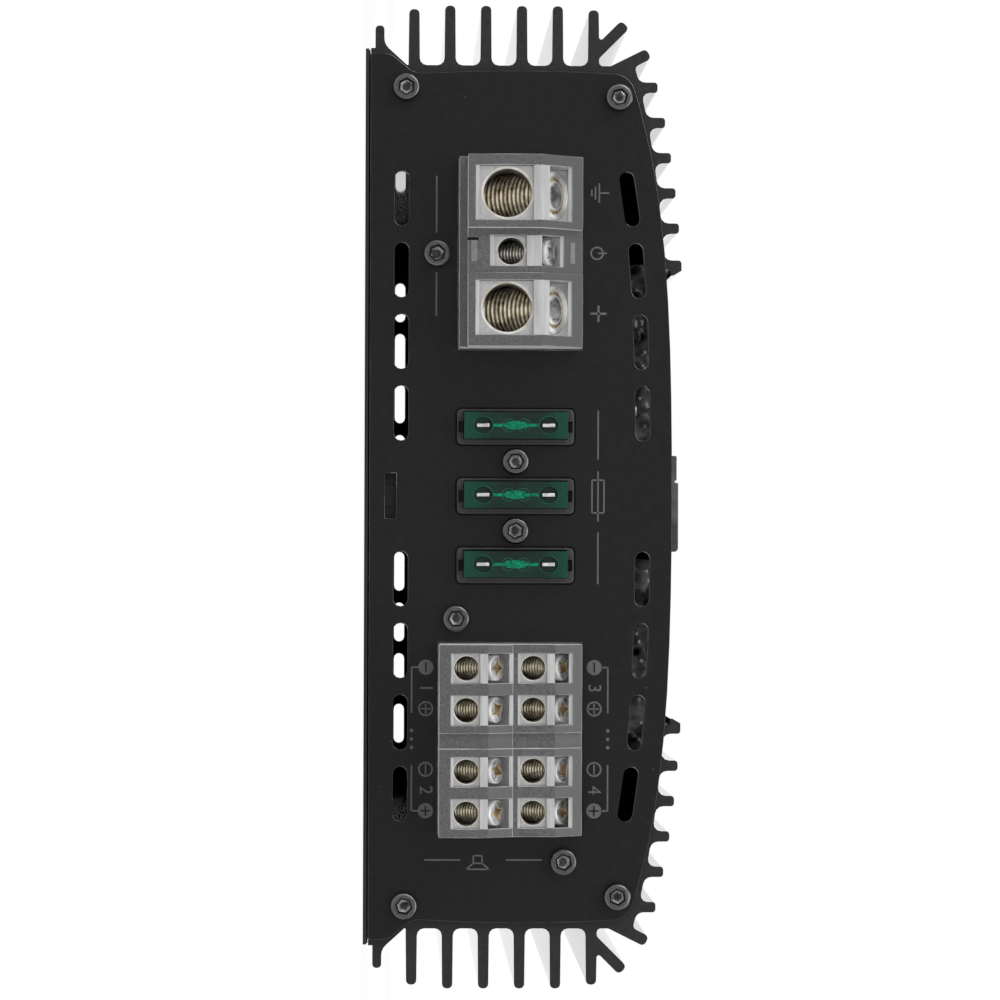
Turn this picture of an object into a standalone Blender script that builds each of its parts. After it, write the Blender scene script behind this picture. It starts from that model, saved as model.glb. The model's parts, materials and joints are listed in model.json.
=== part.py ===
"""Four-channel car amplifier: a finned extrusion between two end panels, with terminals, fuses and inputs.

Metres, +Z up. X runs across the fins, Y along the extrusion, and the terminal end faces -Y.
The origin is under the middle of the base plate.
"""

import math

import bmesh
import bpy
from mathutils import Matrix, Vector

# Overall
BODY_LENGTH = 0.300
BODY_WIDTH = 0.1808
BODY_HEIGHT = 0.0583
SEAT_GAP = 0.0003
SLIDE_GAP = 0.00025
CUT_OVER = 0.002

# Heatsink extrusion
SIDE_WALL = 0.0039
TOP_WALL = 0.0032
FIN_COUNT = 6
FIN_LENGTH = 0.011
FIN_THICK = 0.00208
FIN_TIP_TAPER = 0.0001
FIN_TIP_ROUND = 0.0008
FIN_ROOT = 0.0013
FIRST_FIN_HEIGHT = 0.0089
END_FIN_SHORT = 0.0007
ROOT_FILLET = 0.0009
CROWN_SAG = 0.00544
CROWN_EDGE = 0.004
CROWN_ROUND_SHARE = 0.32
TOP_FIN_DROP = 0.0173
BRANCH_REACH = (0.0077, 0.00585)
BRANCH_FILLET = 0.0004
SHOULDER_REACH = (0.00235, 0.0102)
SHOULDER_SLOPE = 0.5
STUB_COUNT = 5
STUB_HEIGHT = 0.0032
STUB_THICK = 0.00192
STUB_PITCH = 0.0065
STUB_FILLET = 0.0015
STUB_TIP_ROUND = 0.00058
HOOK_TO_STUB = 0.00672
HOOK_HALF_SPAN = 0.0408
HOOK_LIP = 0.0011
HOOK_CHAMFER = 0.0015
HOOK_STEM = 0.0017
HOOK_LIP_THICK = 0.0019
FLANGE_REACH = 0.00725
FLANGE_LIFT = 0.00175
FLANGE_THICK = 0.00165
FLANGE_ROUND = 0.0007
FOOT_FLARE = 0.0038
FOOT_FLARE_HEIGHT = 0.0042
FOOT_BLEND = 0.0025
NOTCH_WIDTH = 0.0042
NOTCH_DEPTH = 0.0032
NOTCH_INSET = 0.025

# Base plate and its tongues
BASE_THICK = 0.00065
BASE_LEDGE = 0.0028
TONGUE_WIDTH = 0.0040
TONGUE_THICK = 0.0010
TONGUE_HEIGHT = 0.0062

# End panels
PANEL_THICK = 0.0015
PANEL_APEX_DROP = 0.0028
PANEL_SAG = 0.00722
PANEL_INSET = 0.00185
PANEL_FOOT_INSET = 0.0009
PANEL_BOW = 0.00065
PANEL_FOOT_HEIGHT = 0.0044
PANEL_WAIST_HEIGHT = 0.0090
PANEL_CORNER = 0.0040
SLOT_COUNT = 4
SLOT_FIRST = 0.0152
SLOT_PITCH = 0.01315
SLOT_LENGTH = 0.0102
SLOT_WIDTH = 0.00275
LOWER_SLOT_HEIGHT = 0.0067
UPPER_SLOT_DROP = 0.0053
WINDOW_WIDTH = 0.0084
WINDOW_LOW = 0.0037
WINDOW_HIGH = 0.0059

# Panel screws
SCREW_HEAD = 0.0050
SCREW_HEAD_HEIGHT = 0.0020
SCREW_SHANK = 0.0030
SCREW_LENGTH = 0.0080
SCREW_HEX = 0.0025
SCREW_HEX_DEPTH = 0.0014
BOSS_WALL = 0.0016
LOWER_SCREW_INSET = 0.0044
LOWER_SCREW_HEIGHT = 0.0075
UPPER_SCREW_INSET = 0.0061
UPPER_SCREW_RISE = 0.0046

# Top cover and badge
COVER_THICK = 0.0007
COVER_END_INSET = 0.020
BADGE_WIDTH = 0.0182
BADGE_LENGTH = 0.016
BADGE_STEP = 0.0047
BADGE_NOTCH = 0.0004
BADGE_LOW = 0.0026
BADGE_HIGH = 0.0029
BADGE_ROUND = 0.0007
BADGE_INSET = 0.0022
BADGE_SHIFT = 0.0010

# Wire clamps: bore, screw and the walls round them; stand and cross place the leaning screw
BIG_CLAMP_BORE = 0.0088
BIG_CLAMP_SCREW = 0.0089
BIG_CLAMP_SIDE = 0.0007
BIG_CLAMP_FLOOR = 0.0014
BIG_CLAMP_ROOF = 0.0018
BIG_CLAMP_MARGIN = 0.0006
BIG_CLAMP_DEPTH = 0.0215
BIG_CLAMP_STAND = 0.01079
BIG_CLAMP_CROSS = 0.01158
BIG_CLAMP_TIP = 0.0021
BIG_CLAMP_TRAVEL = 0.0026
REMOTE_CLAMP_BORE = 0.0049
REMOTE_CLAMP_SCREW = 0.0046
REMOTE_CLAMP_SIDE = 0.00045
REMOTE_CLAMP_FLOOR = 0.0014
REMOTE_CLAMP_ROOF = 0.0013
REMOTE_CLAMP_MARGIN = 0.0002
REMOTE_CLAMP_DEPTH = 0.015
REMOTE_CLAMP_STAND = 0.00888
REMOTE_CLAMP_CROSS = 0.0087
REMOTE_CLAMP_TIP = 0.0012
REMOTE_CLAMP_TRAVEL = 0.0014
SPEAKER_CLAMP_BORE = 0.0044
SPEAKER_CLAMP_SCREW = 0.0044
SPEAKER_CLAMP_SIDE = 0.0006
SPEAKER_CLAMP_FLOOR = 0.0006
SPEAKER_CLAMP_ROOF = 0.0016
SPEAKER_CLAMP_MARGIN = 0.0002
SPEAKER_CLAMP_DEPTH = 0.0125
SPEAKER_CLAMP_STAND = 0.00723
SPEAKER_CLAMP_CROSS = 0.0077
SPEAKER_CLAMP_TIP = 0.0009
SPEAKER_CLAMP_TRAVEL = 0.0015

# Terminal housings
HOUSING_PROUD = 0.0105
HOUSING_FRONT_WALL = 0.0010
HOUSING_LIP = 0.0001
HOUSING_FLANGE = 0.0025
HOUSING_FLANGE_RIM = 0.0030
HOUSING_BACK = 0.0015
HOUSING_FROM_WALL = 0.0310
FRONT_SPARE = 0.02925

POWER_HEIGHT = 0.0259
POWER_CELL_WALL = 0.00183
POWER_END_WALL = 0.00157
POWER_BELOW = 0.00715
POWER_SKIRT = 0.0015
POWER_SKIRT_BACK = 0.0050
POWER_KNEE = 0.0063
POWER_ABOVE = 0.0139
POWER_SLOPE_BACK = 0.0060
POWER_BAR = 0.0026
POWER_STRIP = 0.0021
POWER_LEAN = math.radians(33.0)
REMOTE_RECESS = 0.0020
REMOTE_RISE = 0.0007
REMOTE_BAR = 0.0028
REMOTE_WINDOW = 0.0042
POWER_FIXING_DROP = 0.0127

SPEAKER_HEIGHT = 0.0187
SPEAKER_CELL_WALL = 0.0014
SPEAKER_MID_WALL = 0.0049
SPEAKER_END_WALL = 0.0012
SPEAKER_BELOW = 0.0050
SPEAKER_KNEE = 0.0040
SPEAKER_STEP_BACK = 0.0030
SPEAKER_ABOVE = 0.0090
SPEAKER_DIVIDER = 0.0006
SPEAKER_BAR = 0.0014
SPEAKER_STRIP = 0.0018
SPEAKER_LEAN = math.radians(38.0)
SPEAKER_GROOVE = 0.0028
SPEAKER_GROOVE_DEPTH = 0.0010
SPEAKER_FIXINGS = ((-0.0046, 0.0032), (0.0050, -0.0032))

# Fuses
FUSE_PITCH = 0.0127
FUSE_HEIGHT = 0.0277
FUSE_WIDTH = 0.0191
FUSE_THICK = 0.0051
FUSE_PROUD = 0.0040
FUSE_SEAT_DEPTH = 0.0072
FUSE_CAP_WAIST = 0.0005
FUSE_CAP_DEPTH = 0.0030
BLADE_WIDTH = 0.0052
BLADE_THICK = 0.0008
BLADE_LENGTH = 0.0072
BLADE_SPREAD = 0.0048
HOLDER_WALL = 0.0004
HOLDER_CORNER = 0.0008
HOLDER_END_WALL = 0.0009
HOLDER_PROUD = 0.0008
HOLDER_PLATE = 0.0020
HOLDER_RIM = 0.0012
HOLDER_FLOOR = 0.0010

# Input end
RCA_PITCH = 0.0140
RCA_SLEEVE = 0.0084
RCA_BORE = 0.0064
RCA_PIN_HOLE = 0.0032
RCA_PROUD = 0.0105
RCA_SOCKET_DEPTH = 0.0080
RCA_BLOCK_MARGIN = 0.0085
RCA_BLOCK_DEPTH = 0.0090
RCA_FROM_WALL = 0.0300
INPUT_HEIGHT = 0.0275
KNOB_COUNT = 4
KNOB_PITCH = 0.0150
KNOB_FROM_WALL = 0.0140
KNOB_CAP = 0.0072
KNOB_CAP_HEIGHT = 0.0030
KNOB_SHAFT = 0.0040
KNOB_SHAFT_LENGTH = 0.0060
KNOB_SLOT = 0.0010
KNOB_SLOT_DEPTH = 0.0012
SWITCH_PITCH = 0.0140
SWITCH_GAP_TO_KNOB = 0.0150
SWITCH_LEVER = 0.0030
SWITCH_HEIGHT = 0.0024
SWITCH_BASE = 0.0090
SWITCH_BASE_THICK = 0.0015
SWITCH_PROUD = 0.0024
SWITCH_THROW = 0.0020
LENS_DIAMETER = 0.0030
LENS_RIM = 0.0046
LENS_RIM_THICK = 0.0012
LENS_PROUD = 0.0012
LENS_DROP = 0.0120

# Inside
BOARD_THICK = 0.0016
BOARD_FRONT_SETBACK = 0.0220
BOARD_BACK_SETBACK = 0.0160
HEAD_ROOM = 0.0060
TOROID_OUTER = 0.0235
TOROID_INNER = 0.0095
TOROID_AT = (-0.0280, 0.0550)
CAPACITOR_RADIUS = 0.0125
CAPACITOR_AT = (0.0300, 0.0400)
BANK_COUNT = 8
BANK_PITCH = 0.0180
PACKAGE_WIDTH = 0.0102
PACKAGE_THICK = 0.0045
PACKAGE_HEIGHT = 0.0150
BANK_BAR = 0.0030

# Turned and rounded shapes
ROUND_SIDES = 16
SMALL_SIDES = 10
CORNER_STEPS = 3

# Values that follow from the sizes above
half_length = BODY_LENGTH / 2
half_width = BODY_WIDTH / 2
wall_out = half_width - FIN_LENGTH
wall_in = wall_out - SIDE_WALL

# The sizes across the body share its inside width, so they follow it
layout_half = FUSE_PITCH + FUSE_THICK / 2 + FRONT_SPARE + HOUSING_FROM_WALL
front_scale = wall_in / layout_half
hook_half_span = HOOK_HALF_SPAN * front_scale
hook_to_stub = HOOK_TO_STUB * front_scale
stub_pitch = STUB_PITCH * front_scale
slot_first = SLOT_FIRST * front_scale
slot_pitch = SLOT_PITCH * front_scale
slot_length = SLOT_LENGTH * front_scale
screw_head = SCREW_HEAD * front_scale
screw_shank = SCREW_SHANK * front_scale
screw_hex = SCREW_HEX * front_scale
housing_from_wall = HOUSING_FROM_WALL * front_scale
power_cell_wall = POWER_CELL_WALL * front_scale
power_end_wall = POWER_END_WALL * front_scale
power_below = POWER_BELOW * front_scale
power_knee = POWER_KNEE * front_scale
power_above = POWER_ABOVE * front_scale
power_slope_back = POWER_SLOPE_BACK * front_scale
power_bar = POWER_BAR * front_scale
power_strip = POWER_STRIP * front_scale
remote_recess = REMOTE_RECESS * front_scale
remote_rise = REMOTE_RISE * front_scale
remote_bar = REMOTE_BAR * front_scale
remote_window = REMOTE_WINDOW * front_scale
speaker_cell_wall = SPEAKER_CELL_WALL * front_scale
speaker_mid_wall = SPEAKER_MID_WALL * front_scale
speaker_end_wall = SPEAKER_END_WALL * front_scale
speaker_below = SPEAKER_BELOW * front_scale
speaker_knee = SPEAKER_KNEE * front_scale
speaker_step_back = SPEAKER_STEP_BACK * front_scale
speaker_above = SPEAKER_ABOVE * front_scale
speaker_divider = SPEAKER_DIVIDER * front_scale
speaker_bar = SPEAKER_BAR * front_scale
speaker_strip = SPEAKER_STRIP * front_scale
speaker_groove = SPEAKER_GROOVE * front_scale
fuse_pitch = FUSE_PITCH * front_scale
fuse_thick = FUSE_THICK * front_scale
holder_wall = HOLDER_WALL * front_scale
rca_pitch = RCA_PITCH * front_scale
rca_from_wall = RCA_FROM_WALL * front_scale
rca_block_margin = RCA_BLOCK_MARGIN * front_scale
knob_pitch = KNOB_PITCH * front_scale
knob_from_wall = KNOB_FROM_WALL * front_scale
switch_pitch = SWITCH_PITCH * front_scale
switch_gap_to_knob = SWITCH_GAP_TO_KNOB * front_scale

crown_span = wall_out - CROWN_EDGE
hook_centre = hook_half_span + HOOK_LIP + HOOK_STEM / 2
panel_low = BASE_THICK + SEAT_GAP
panel_in = half_length - PANEL_THICK
sink_end = panel_in - SEAT_GAP
hole_radius = screw_shank / 2 + SEAT_GAP
lower_screw = (wall_out - LOWER_SCREW_INSET, LOWER_SCREW_HEIGHT)
ledge_height = LOWER_SCREW_HEIGHT + hole_radius + BOSS_WALL / 2
board_low = ledge_height + SEAT_GAP
board_top = board_low + BOARD_THICK
front_face = -half_length - HOUSING_PROUD


def crown_drop(x, sag):
    """How far a crowned top lies below its apex at x."""
    share = abs(x) / crown_span
    return sag * (CROWN_ROUND_SHARE * share**2 + (1 - CROWN_ROUND_SHARE) * share**4)


crown_apex = BODY_HEIGHT + crown_drop(hook_centre, CROWN_SAG)
top_fin_height = crown_apex - TOP_FIN_DROP
fin_pitch = (top_fin_height - FIRST_FIN_HEIGHT) / (FIN_COUNT - 1)
panel_apex = crown_apex - PANEL_APEX_DROP
upper_screw = (wall_out - UPPER_SCREW_INSET, top_fin_height + UPPER_SCREW_RISE)
groove_height = COVER_THICK + 2 * SEAT_GAP
recess_floor = BODY_HEIGHT - HOOK_LIP_THICK - groove_height


def tip_height(x):
    """Height of the rib tips on the crowned top."""
    return crown_apex - crown_drop(x, CROWN_SAG)


def floor_height(x):
    """Height of the pocket floors between the ribs."""
    return tip_height(x) - STUB_HEIGHT


def ceiling_height(x):
    """Height of the inside of the crowned top."""
    return floor_height(x) - TOP_WALL


def panel_height(x):
    """Height of an end panel's crowned top edge."""
    return panel_apex - crown_drop(x, PANEL_SAG)


# Outlines


def rounded(corners, steps=CORNER_STEPS):
    """Points of a closed outline, from corners given as (a, b) or (a, b, radius)."""
    points = []
    count = len(corners)
    for index, corner in enumerate(corners):
        here = Vector(corner[:2])
        radius = corner[2] if len(corner) > 2 else 0.0
        to_last = Vector(corners[index - 1][:2]) - here
        to_next = Vector(corners[(index + 1) % count][:2]) - here
        half_angle = to_last.angle(to_next) / 2
        reach = min(to_last.length, to_next.length) * 0.49
        if radius <= 0 or abs(half_angle - math.pi / 2) < 0.02:
            points.append(here)
            continue
        radius = min(radius, reach * math.tan(half_angle))
        offset = radius / math.tan(half_angle)
        start = here + to_last.normalized() * offset
        end = here + to_next.normalized() * offset
        middle = here + (to_last.normalized() + to_next.normalized()).normalized() * (
            radius / math.sin(half_angle)
        )
        first = start - middle
        sweep = first.angle_signed(end - middle)
        for step in range(steps + 1):
            turn = Matrix.Rotation(-sweep * step / steps, 2)
            points.append(middle + turn @ first)
    return [tuple(point) for point in points]


def mirrored(half):
    """A whole outline, from the right half listed from the bottom round to the middle of the top."""
    left = []
    for corner in reversed(half):
        if abs(corner[0]) > 1e-9:
            left.append((-corner[0], *corner[1:]))
    return list(half) + left


def stadium(centre, length, width, tilt=0.0, steps=6):
    """A slot with round ends, centred on a point and tilted about it."""
    radius = width / 2
    points = []
    for side in (1, -1):
        for step in range(steps + 1):
            angle = math.pi * step / steps - math.pi / 2
            along = side * (length / 2 - radius + radius * math.cos(angle))
            across = side * radius * math.sin(angle)
            points.append(
                (
                    centre[0] + along * math.cos(tilt) - across * math.sin(tilt),
                    centre[1] + along * math.sin(tilt) + across * math.cos(tilt),
                )
            )
    return points


def rectangle(low, high):
    """The corners of an upright rectangle."""
    return [(low[0], low[1]), (high[0], low[1]), (high[0], high[1]), (low[0], high[1])]


def soft_rectangle(low, high, radius):
    """A rectangle with its corners rounded."""
    return rounded([(*corner, radius) for corner in rectangle(low, high)])


def ring(centre, radius, sides=SMALL_SIDES):
    """Points round a circle."""
    step = 2 * math.pi / sides
    return [
        (centre[0] + radius * math.cos(step * i), centre[1] + radius * math.sin(step * i))
        for i in range(sides)
    ]


# Meshes


def add_prism(mesh, outline, low, high, axis="Y"):
    """Adds an outline swept along an axis: (x, z) along Y, (y, z) along X or (x, y) along Z."""

    def placed(a, b, along):
        if axis == "Y":
            return (a, along, b)
        if axis == "X":
            return (along, a, b)
        return (a, b, along)

    start = mesh.faces.new([mesh.verts.new(placed(a, b, low)) for a, b in outline])
    swept = bmesh.ops.extrude_face_region(mesh, geom=[start])
    moved = [item for item in swept["geom"] if isinstance(item, bmesh.types.BMVert)]
    offset = Vector(placed(0, 0, high - low))
    bmesh.ops.translate(mesh, vec=offset, verts=moved)


def prisms(outlines, low, high, axis="Y"):
    """A mesh of separate prisms that share their two ends."""
    mesh = bmesh.new()
    for outline in outlines:
        add_prism(mesh, outline, low, high, axis)
    return mesh


def boxes(pairs):
    """A mesh of separate boxes, each given by its lowest and highest corner."""
    mesh = bmesh.new()
    for low, high in pairs:
        add_prism(mesh, rectangle(low[:2], high[:2]), low[2], high[2], "Z")
    return mesh


def turned(profile, sides=ROUND_SIDES):
    """A solid of revolution about Z, from (radius, height) points listed from the bottom to the top."""
    mesh = bmesh.new()
    rings = []
    for radius, height in profile:
        if radius < 1e-9:
            rings.append([mesh.verts.new((0, 0, height))])
            continue
        rings.append([mesh.verts.new((x, y, height)) for x, y in ring((0, 0), radius, sides)])
    for lower, upper in zip(rings, rings[1:]):
        for i in range(sides):
            j = (i + 1) % sides
            corners = [lower[i % len(lower)], lower[j % len(lower)]]
            corners += [upper[j % len(upper)], upper[i % len(upper)]]
            mesh.faces.new(list(dict.fromkeys(corners)))
    for end in (rings[0], rings[-1]):
        if len(end) > 1:
            mesh.faces.new(end)
    return mesh


def finished(mesh, name):
    """Turns a bmesh into mesh data with its faces pointing out."""
    bmesh.ops.recalc_face_normals(mesh, faces=mesh.faces)
    data = bpy.data.meshes.new(name)
    mesh.to_mesh(data)
    mesh.free()
    return data


def material_for(name, colour, roughness, metallic):
    """One Principled material for one piece."""
    material = bpy.data.materials.new(name)
    material.use_nodes = True
    shader = material.node_tree.nodes["Principled BSDF"]
    shader.inputs["Base Color"].default_value = (*colour, 1.0)
    shader.inputs["Roughness"].default_value = roughness
    shader.inputs["Metallic"].default_value = metallic
    return material


# Finishes: colour, roughness, metallic
SATIN_BLACK = ((0.030, 0.030, 0.031), 0.45, 0.3)
GLOSS_BLACK = ((0.018, 0.018, 0.019), 0.22, 0.0)
SCREW_GREY = ((0.10, 0.10, 0.105), 0.35, 0.8)
CLEAR_PLASTIC = ((0.45, 0.46, 0.47), 0.30, 0.0)
NICKEL = ((0.66, 0.64, 0.60), 0.25, 1.0)
FUSE_GREEN = ((0.01, 0.28, 0.13), 0.20, 0.0)
HOLDER_BLACK = ((0.02, 0.02, 0.02), 0.5, 0.0)
BOARD_GREEN = ((0.02, 0.12, 0.05), 0.45, 0.0)
COPPER = ((0.45, 0.20, 0.09), 0.35, 0.6)
CAN_BLUE = ((0.03, 0.04, 0.10), 0.35, 0.0)
BARE_ALUMINIUM = ((0.70, 0.71, 0.72), 0.35, 1.0)
LENS_RED = ((0.55, 0.03, 0.02), 0.15, 0.0)


def piece(name, data, finish, place=(0, 0, 0), turn=(0, 0, 0)):
    """One named object of the amplifier."""
    item = bpy.data.objects.new(name, data)
    item.location = place
    item.rotation_euler = turn
    data.materials.clear()
    data.materials.append(material_for(name, *finish))
    data.shade_smooth()
    data.set_sharp_from_angle(angle=math.radians(35))
    bpy.context.scene.collection.objects.link(item)
    return item


def cutter(name, mesh):
    """A hidden helper that only shapes other pieces."""
    item = bpy.data.objects.new(name, finished(mesh, name))
    item.hide_render = True
    item.display_type = "WIRE"
    bpy.context.scene.collection.objects.link(item)
    return item


def shape(item, mesh, operation="DIFFERENCE"):
    """Cuts a mesh out of a piece, or joins it on."""
    change = item.modifiers.new("shape", "BOOLEAN")
    change.operation = operation
    change.solver = "EXACT"
    change.object = cutter(f"{item.name}_{operation.lower()}_{len(item.modifiers)}", mesh)


def settled(item):
    """The mesh of a pattern piece with its cuts applied, ready to be copied; the pattern is removed."""
    graph = bpy.context.evaluated_depsgraph_get()
    data = bpy.data.meshes.new_from_object(item.evaluated_get(graph))
    helpers = [change.object for change in item.modifiers]
    for helper in [item, *helpers]:
        bpy.data.objects.remove(helper)
    return data


# Heatsink


def side_fin_corners():
    """Corners of the level fins on the right side wall, from the lowest up to the top one's tip."""
    corners = []
    for index in range(FIN_COUNT):
        height = FIRST_FIN_HEIGHT + index * fin_pitch
        at_end = index in (0, FIN_COUNT - 1)
        tip = half_width - (END_FIN_SHORT if at_end else 0.0)
        half = FIN_THICK / 2
        corners.append((wall_out, height - half, FIN_ROOT))
        corners.append((tip, height - half + FIN_TIP_TAPER, FIN_TIP_ROUND))
        corners.append((tip, height + half - FIN_TIP_TAPER, FIN_TIP_ROUND))
        if index < FIN_COUNT - 1:
            corners.append((wall_out, height + half, FIN_ROOT))
    return corners


def branch_corners():
    """Corners of the slanting fin that branches from the top level fin, and of the shoulder fin above it."""
    half = FIN_THICK / 2
    fin_top = top_fin_height + half
    tip = Vector((wall_out + BRANCH_REACH[0], top_fin_height + BRANCH_REACH[1]))
    along = Vector((1, 1)).normalized()
    side = Vector((along.y, -along.x)) * half
    under = tip + side
    over = tip - side
    corners = [
        (under.x - (under.y - fin_top), fin_top, BRANCH_FILLET),
        (under.x, under.y, FIN_TIP_ROUND),
        (over.x, over.y, FIN_TIP_ROUND),
        (over.x - (over.y - fin_top), fin_top, ROOT_FILLET),
        (wall_out, fin_top, ROOT_FILLET),
    ]
    tip = Vector((wall_out + SHOULDER_REACH[0], top_fin_height + SHOULDER_REACH[1]))
    along = Vector((SHOULDER_SLOPE, 1)).normalized()
    side = Vector((along.y, -along.x)) * half
    under = tip + side
    over = tip - side
    root = over.x - (over.y - floor_height(wall_out)) * SHOULDER_SLOPE
    corners += [
        (wall_out, under.y - (under.x - wall_out) / SHOULDER_SLOPE, ROOT_FILLET),
        (under.x, under.y, FIN_TIP_ROUND),
        (over.x, over.y, FIN_TIP_ROUND),
        (root, floor_height(root), ROOT_FILLET),
    ]
    return corners


def stub_corners():
    """Corners of the short ribs on the right half of the crowned top, from the outermost in to the hook."""
    corners = []
    half = STUB_THICK / 2
    for index in reversed(range(STUB_COUNT)):
        x = hook_centre + hook_to_stub + index * stub_pitch
        corners.append((x + half, floor_height(x + half), STUB_FILLET))
        corners.append((x + half, tip_height(x), STUB_TIP_ROUND))
        corners.append((x - half, tip_height(x), STUB_TIP_ROUND))
        corners.append((x - half, floor_height(x - half), STUB_FILLET))
    lip = hook_half_span
    groove = lip + HOOK_LIP
    outer = groove + HOOK_STEM
    corners += [
        (outer, floor_height(outer), STUB_FILLET),
        (outer, BODY_HEIGHT, STUB_TIP_ROUND),
        (min(lip + HOOK_CHAMFER * 0.6, groove), BODY_HEIGHT),
        (lip, BODY_HEIGHT - HOOK_CHAMFER),
        (lip, BODY_HEIGHT - HOOK_LIP_THICK),
        (groove, BODY_HEIGHT - HOOK_LIP_THICK),
        (groove, recess_floor),
    ]
    return corners


def outer_half():
    """Right half of the extrusion's outside, from the foot's inner corner round to the recess on top."""
    base_edge = wall_out + BASE_LEDGE + SEAT_GAP
    flange_top = FLANGE_LIFT + FLANGE_THICK
    boss_in = lower_screw[0] - hole_radius - BOSS_WALL
    foot = [
        (boss_in, panel_low),
        (base_edge, panel_low),
        (base_edge, FLANGE_LIFT),
        (wall_out + FLANGE_REACH, FLANGE_LIFT, FLANGE_ROUND),
        (wall_out + FLANGE_REACH, flange_top, FLANGE_ROUND),
        (wall_out + FOOT_FLARE, flange_top, FOOT_BLEND),
        (wall_out, flange_top + FOOT_FLARE_HEIGHT, FOOT_BLEND),
    ]
    return foot + side_fin_corners() + branch_corners() + stub_corners()


def inner_half():
    """Right half of the extrusion's inside, from the middle of the ceiling down to the lower screw boss."""
    upper_in = upper_screw[0] - hole_radius - BOSS_WALL
    upper_low = upper_screw[1] - hole_radius - BOSS_WALL
    boss_in = lower_screw[0] - hole_radius - BOSS_WALL
    corners = []
    steps = 6
    for step in range(steps + 1):
        x = upper_in * step / steps
        corners.append((x, ceiling_height(x)))
    return corners + [
        (upper_in, upper_low, ROOT_FILLET),
        (wall_in, upper_low, ROOT_FILLET),
        (wall_in, ledge_height, ROOT_FILLET),
        (boss_in, ledge_height),
    ]


def heatsink_outline():
    """The extrusion's closed section, right outside first, then the left outside, then the inside."""
    outside = outer_half()
    inside = inner_half()
    left_outside = [(-corner[0], *corner[1:]) for corner in reversed(outside)]
    left_inside = [(-corner[0], *corner[1:]) for corner in reversed(inside)]
    return rounded(outside + left_outside + left_inside + inside[1:])


def corner_screw_places():
    """The four corner screws' (x, z) places on an end panel."""
    return [(side * x, z) for x, z in (lower_screw, upper_screw) for side in (-1, 1)]


def make_heatsink():
    section = prisms([heatsink_outline()], -sink_end, sink_end)
    sink = piece("heatsink", finished(section, "heatsink"), SATIN_BLACK)
    ports = [ring(place, hole_radius) for place in corner_screw_places()]
    port_depth = SCREW_LENGTH + SEAT_GAP
    for side in (-1, 1):
        ends = sorted((side * (sink_end - port_depth), side * (sink_end + CUT_OVER)))
        shape(sink, prisms(ports, *ends))
    edge = wall_out + FLANGE_REACH
    notches = []
    for side in (-1, 1):
        for end in (-1, 1):
            x = side * (edge - NOTCH_DEPTH / 2 + CUT_OVER / 2)
            y = end * (half_length - NOTCH_INSET)
            notches.append(stadium((x, y), NOTCH_DEPTH + CUT_OVER, NOTCH_WIDTH))
    low = (panel_low + FLANGE_LIFT) / 2
    shape(sink, prisms(notches, low, FLANGE_LIFT + FLANGE_THICK + SEAT_GAP, "Z"))


# Sheet pieces


def make_base_plate():
    half = wall_out + BASE_LEDGE
    plate = piece(
        "base_plate",
        finished(boxes([((-half, -half_length, 0), (half, half_length, BASE_THICK))]), "base_plate"),
        SATIN_BLACK,
    )
    tongues = []
    for end in (-1, 1):
        near = end * (panel_in - SEAT_GAP)
        far = end * (panel_in - SEAT_GAP - TONGUE_THICK)
        low = (-TONGUE_WIDTH / 2, min(near, far), BASE_THICK / 2)
        high = (TONGUE_WIDTH / 2, max(near, far), TONGUE_HEIGHT)
        tongues.append((low, high))
    shape(plate, boxes(tongues), "UNION")


def panel_outline():
    """An end panel's outline, with a flared foot, slightly bowed sides and a crowned top."""
    foot = wall_out + BASE_LEDGE - PANEL_FOOT_INSET
    waist = wall_out - PANEL_INSET
    side_top = panel_height(waist)
    half = [
        (foot, panel_low, SEAT_GAP),
        (foot, PANEL_FOOT_HEIGHT, foot - waist),
        (waist, PANEL_WAIST_HEIGHT, foot - waist),
    ]
    steps = 4
    for step in range(1, steps):
        share = step / steps
        bow = PANEL_BOW * 4 * share * (1 - share)
        half.append((waist + bow, PANEL_WAIST_HEIGHT + share * (side_top - PANEL_WAIST_HEIGHT)))
    half.append((waist, side_top, PANEL_CORNER))
    steps = 8
    reach = waist - 1.4 * PANEL_CORNER
    for step in range(steps + 1):
        x = reach * (1 - step / steps)
        half.append((x, panel_height(x)))
    return rounded(mirrored(half), steps=5)


def slot_outlines():
    """The two rows of vent slots; the upper row follows the crowned edge."""
    outlines = []
    for index in range(SLOT_COUNT):
        x = slot_first + index * slot_pitch
        ends = (x - slot_length / 2, x + slot_length / 2)
        rise = panel_height(ends[1]) - panel_height(ends[0])
        tilt = math.atan2(rise, slot_length)
        for side in (-1, 1):
            outlines.append(stadium((side * x, LOWER_SLOT_HEIGHT), slot_length, SLOT_WIDTH))
            upper = (side * x, panel_height(x) - UPPER_SLOT_DROP)
            outlines.append(stadium(upper, slot_length, SLOT_WIDTH, side * tilt))
    return outlines


def shared_openings():
    """Openings that both end panels have: vent slots, corner screw holes and the tongue window."""
    window = rectangle((-WINDOW_WIDTH / 2, WINDOW_LOW), (WINDOW_WIDTH / 2, WINDOW_HIGH))
    holes = [ring(place, hole_radius) for place in corner_screw_places()]
    return [*slot_outlines(), window, *holes]


def make_panel(name, end, openings):
    """An end panel at one end, -1 for the terminals and 1 for the inputs."""
    low, high = sorted((end * panel_in, end * half_length))
    panel = piece(name, finished(prisms([panel_outline()], low, high), name), GLOSS_BLACK)
    shape(panel, prisms(shared_openings() + openings, low - CUT_OVER, high + CUT_OVER))


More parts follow.
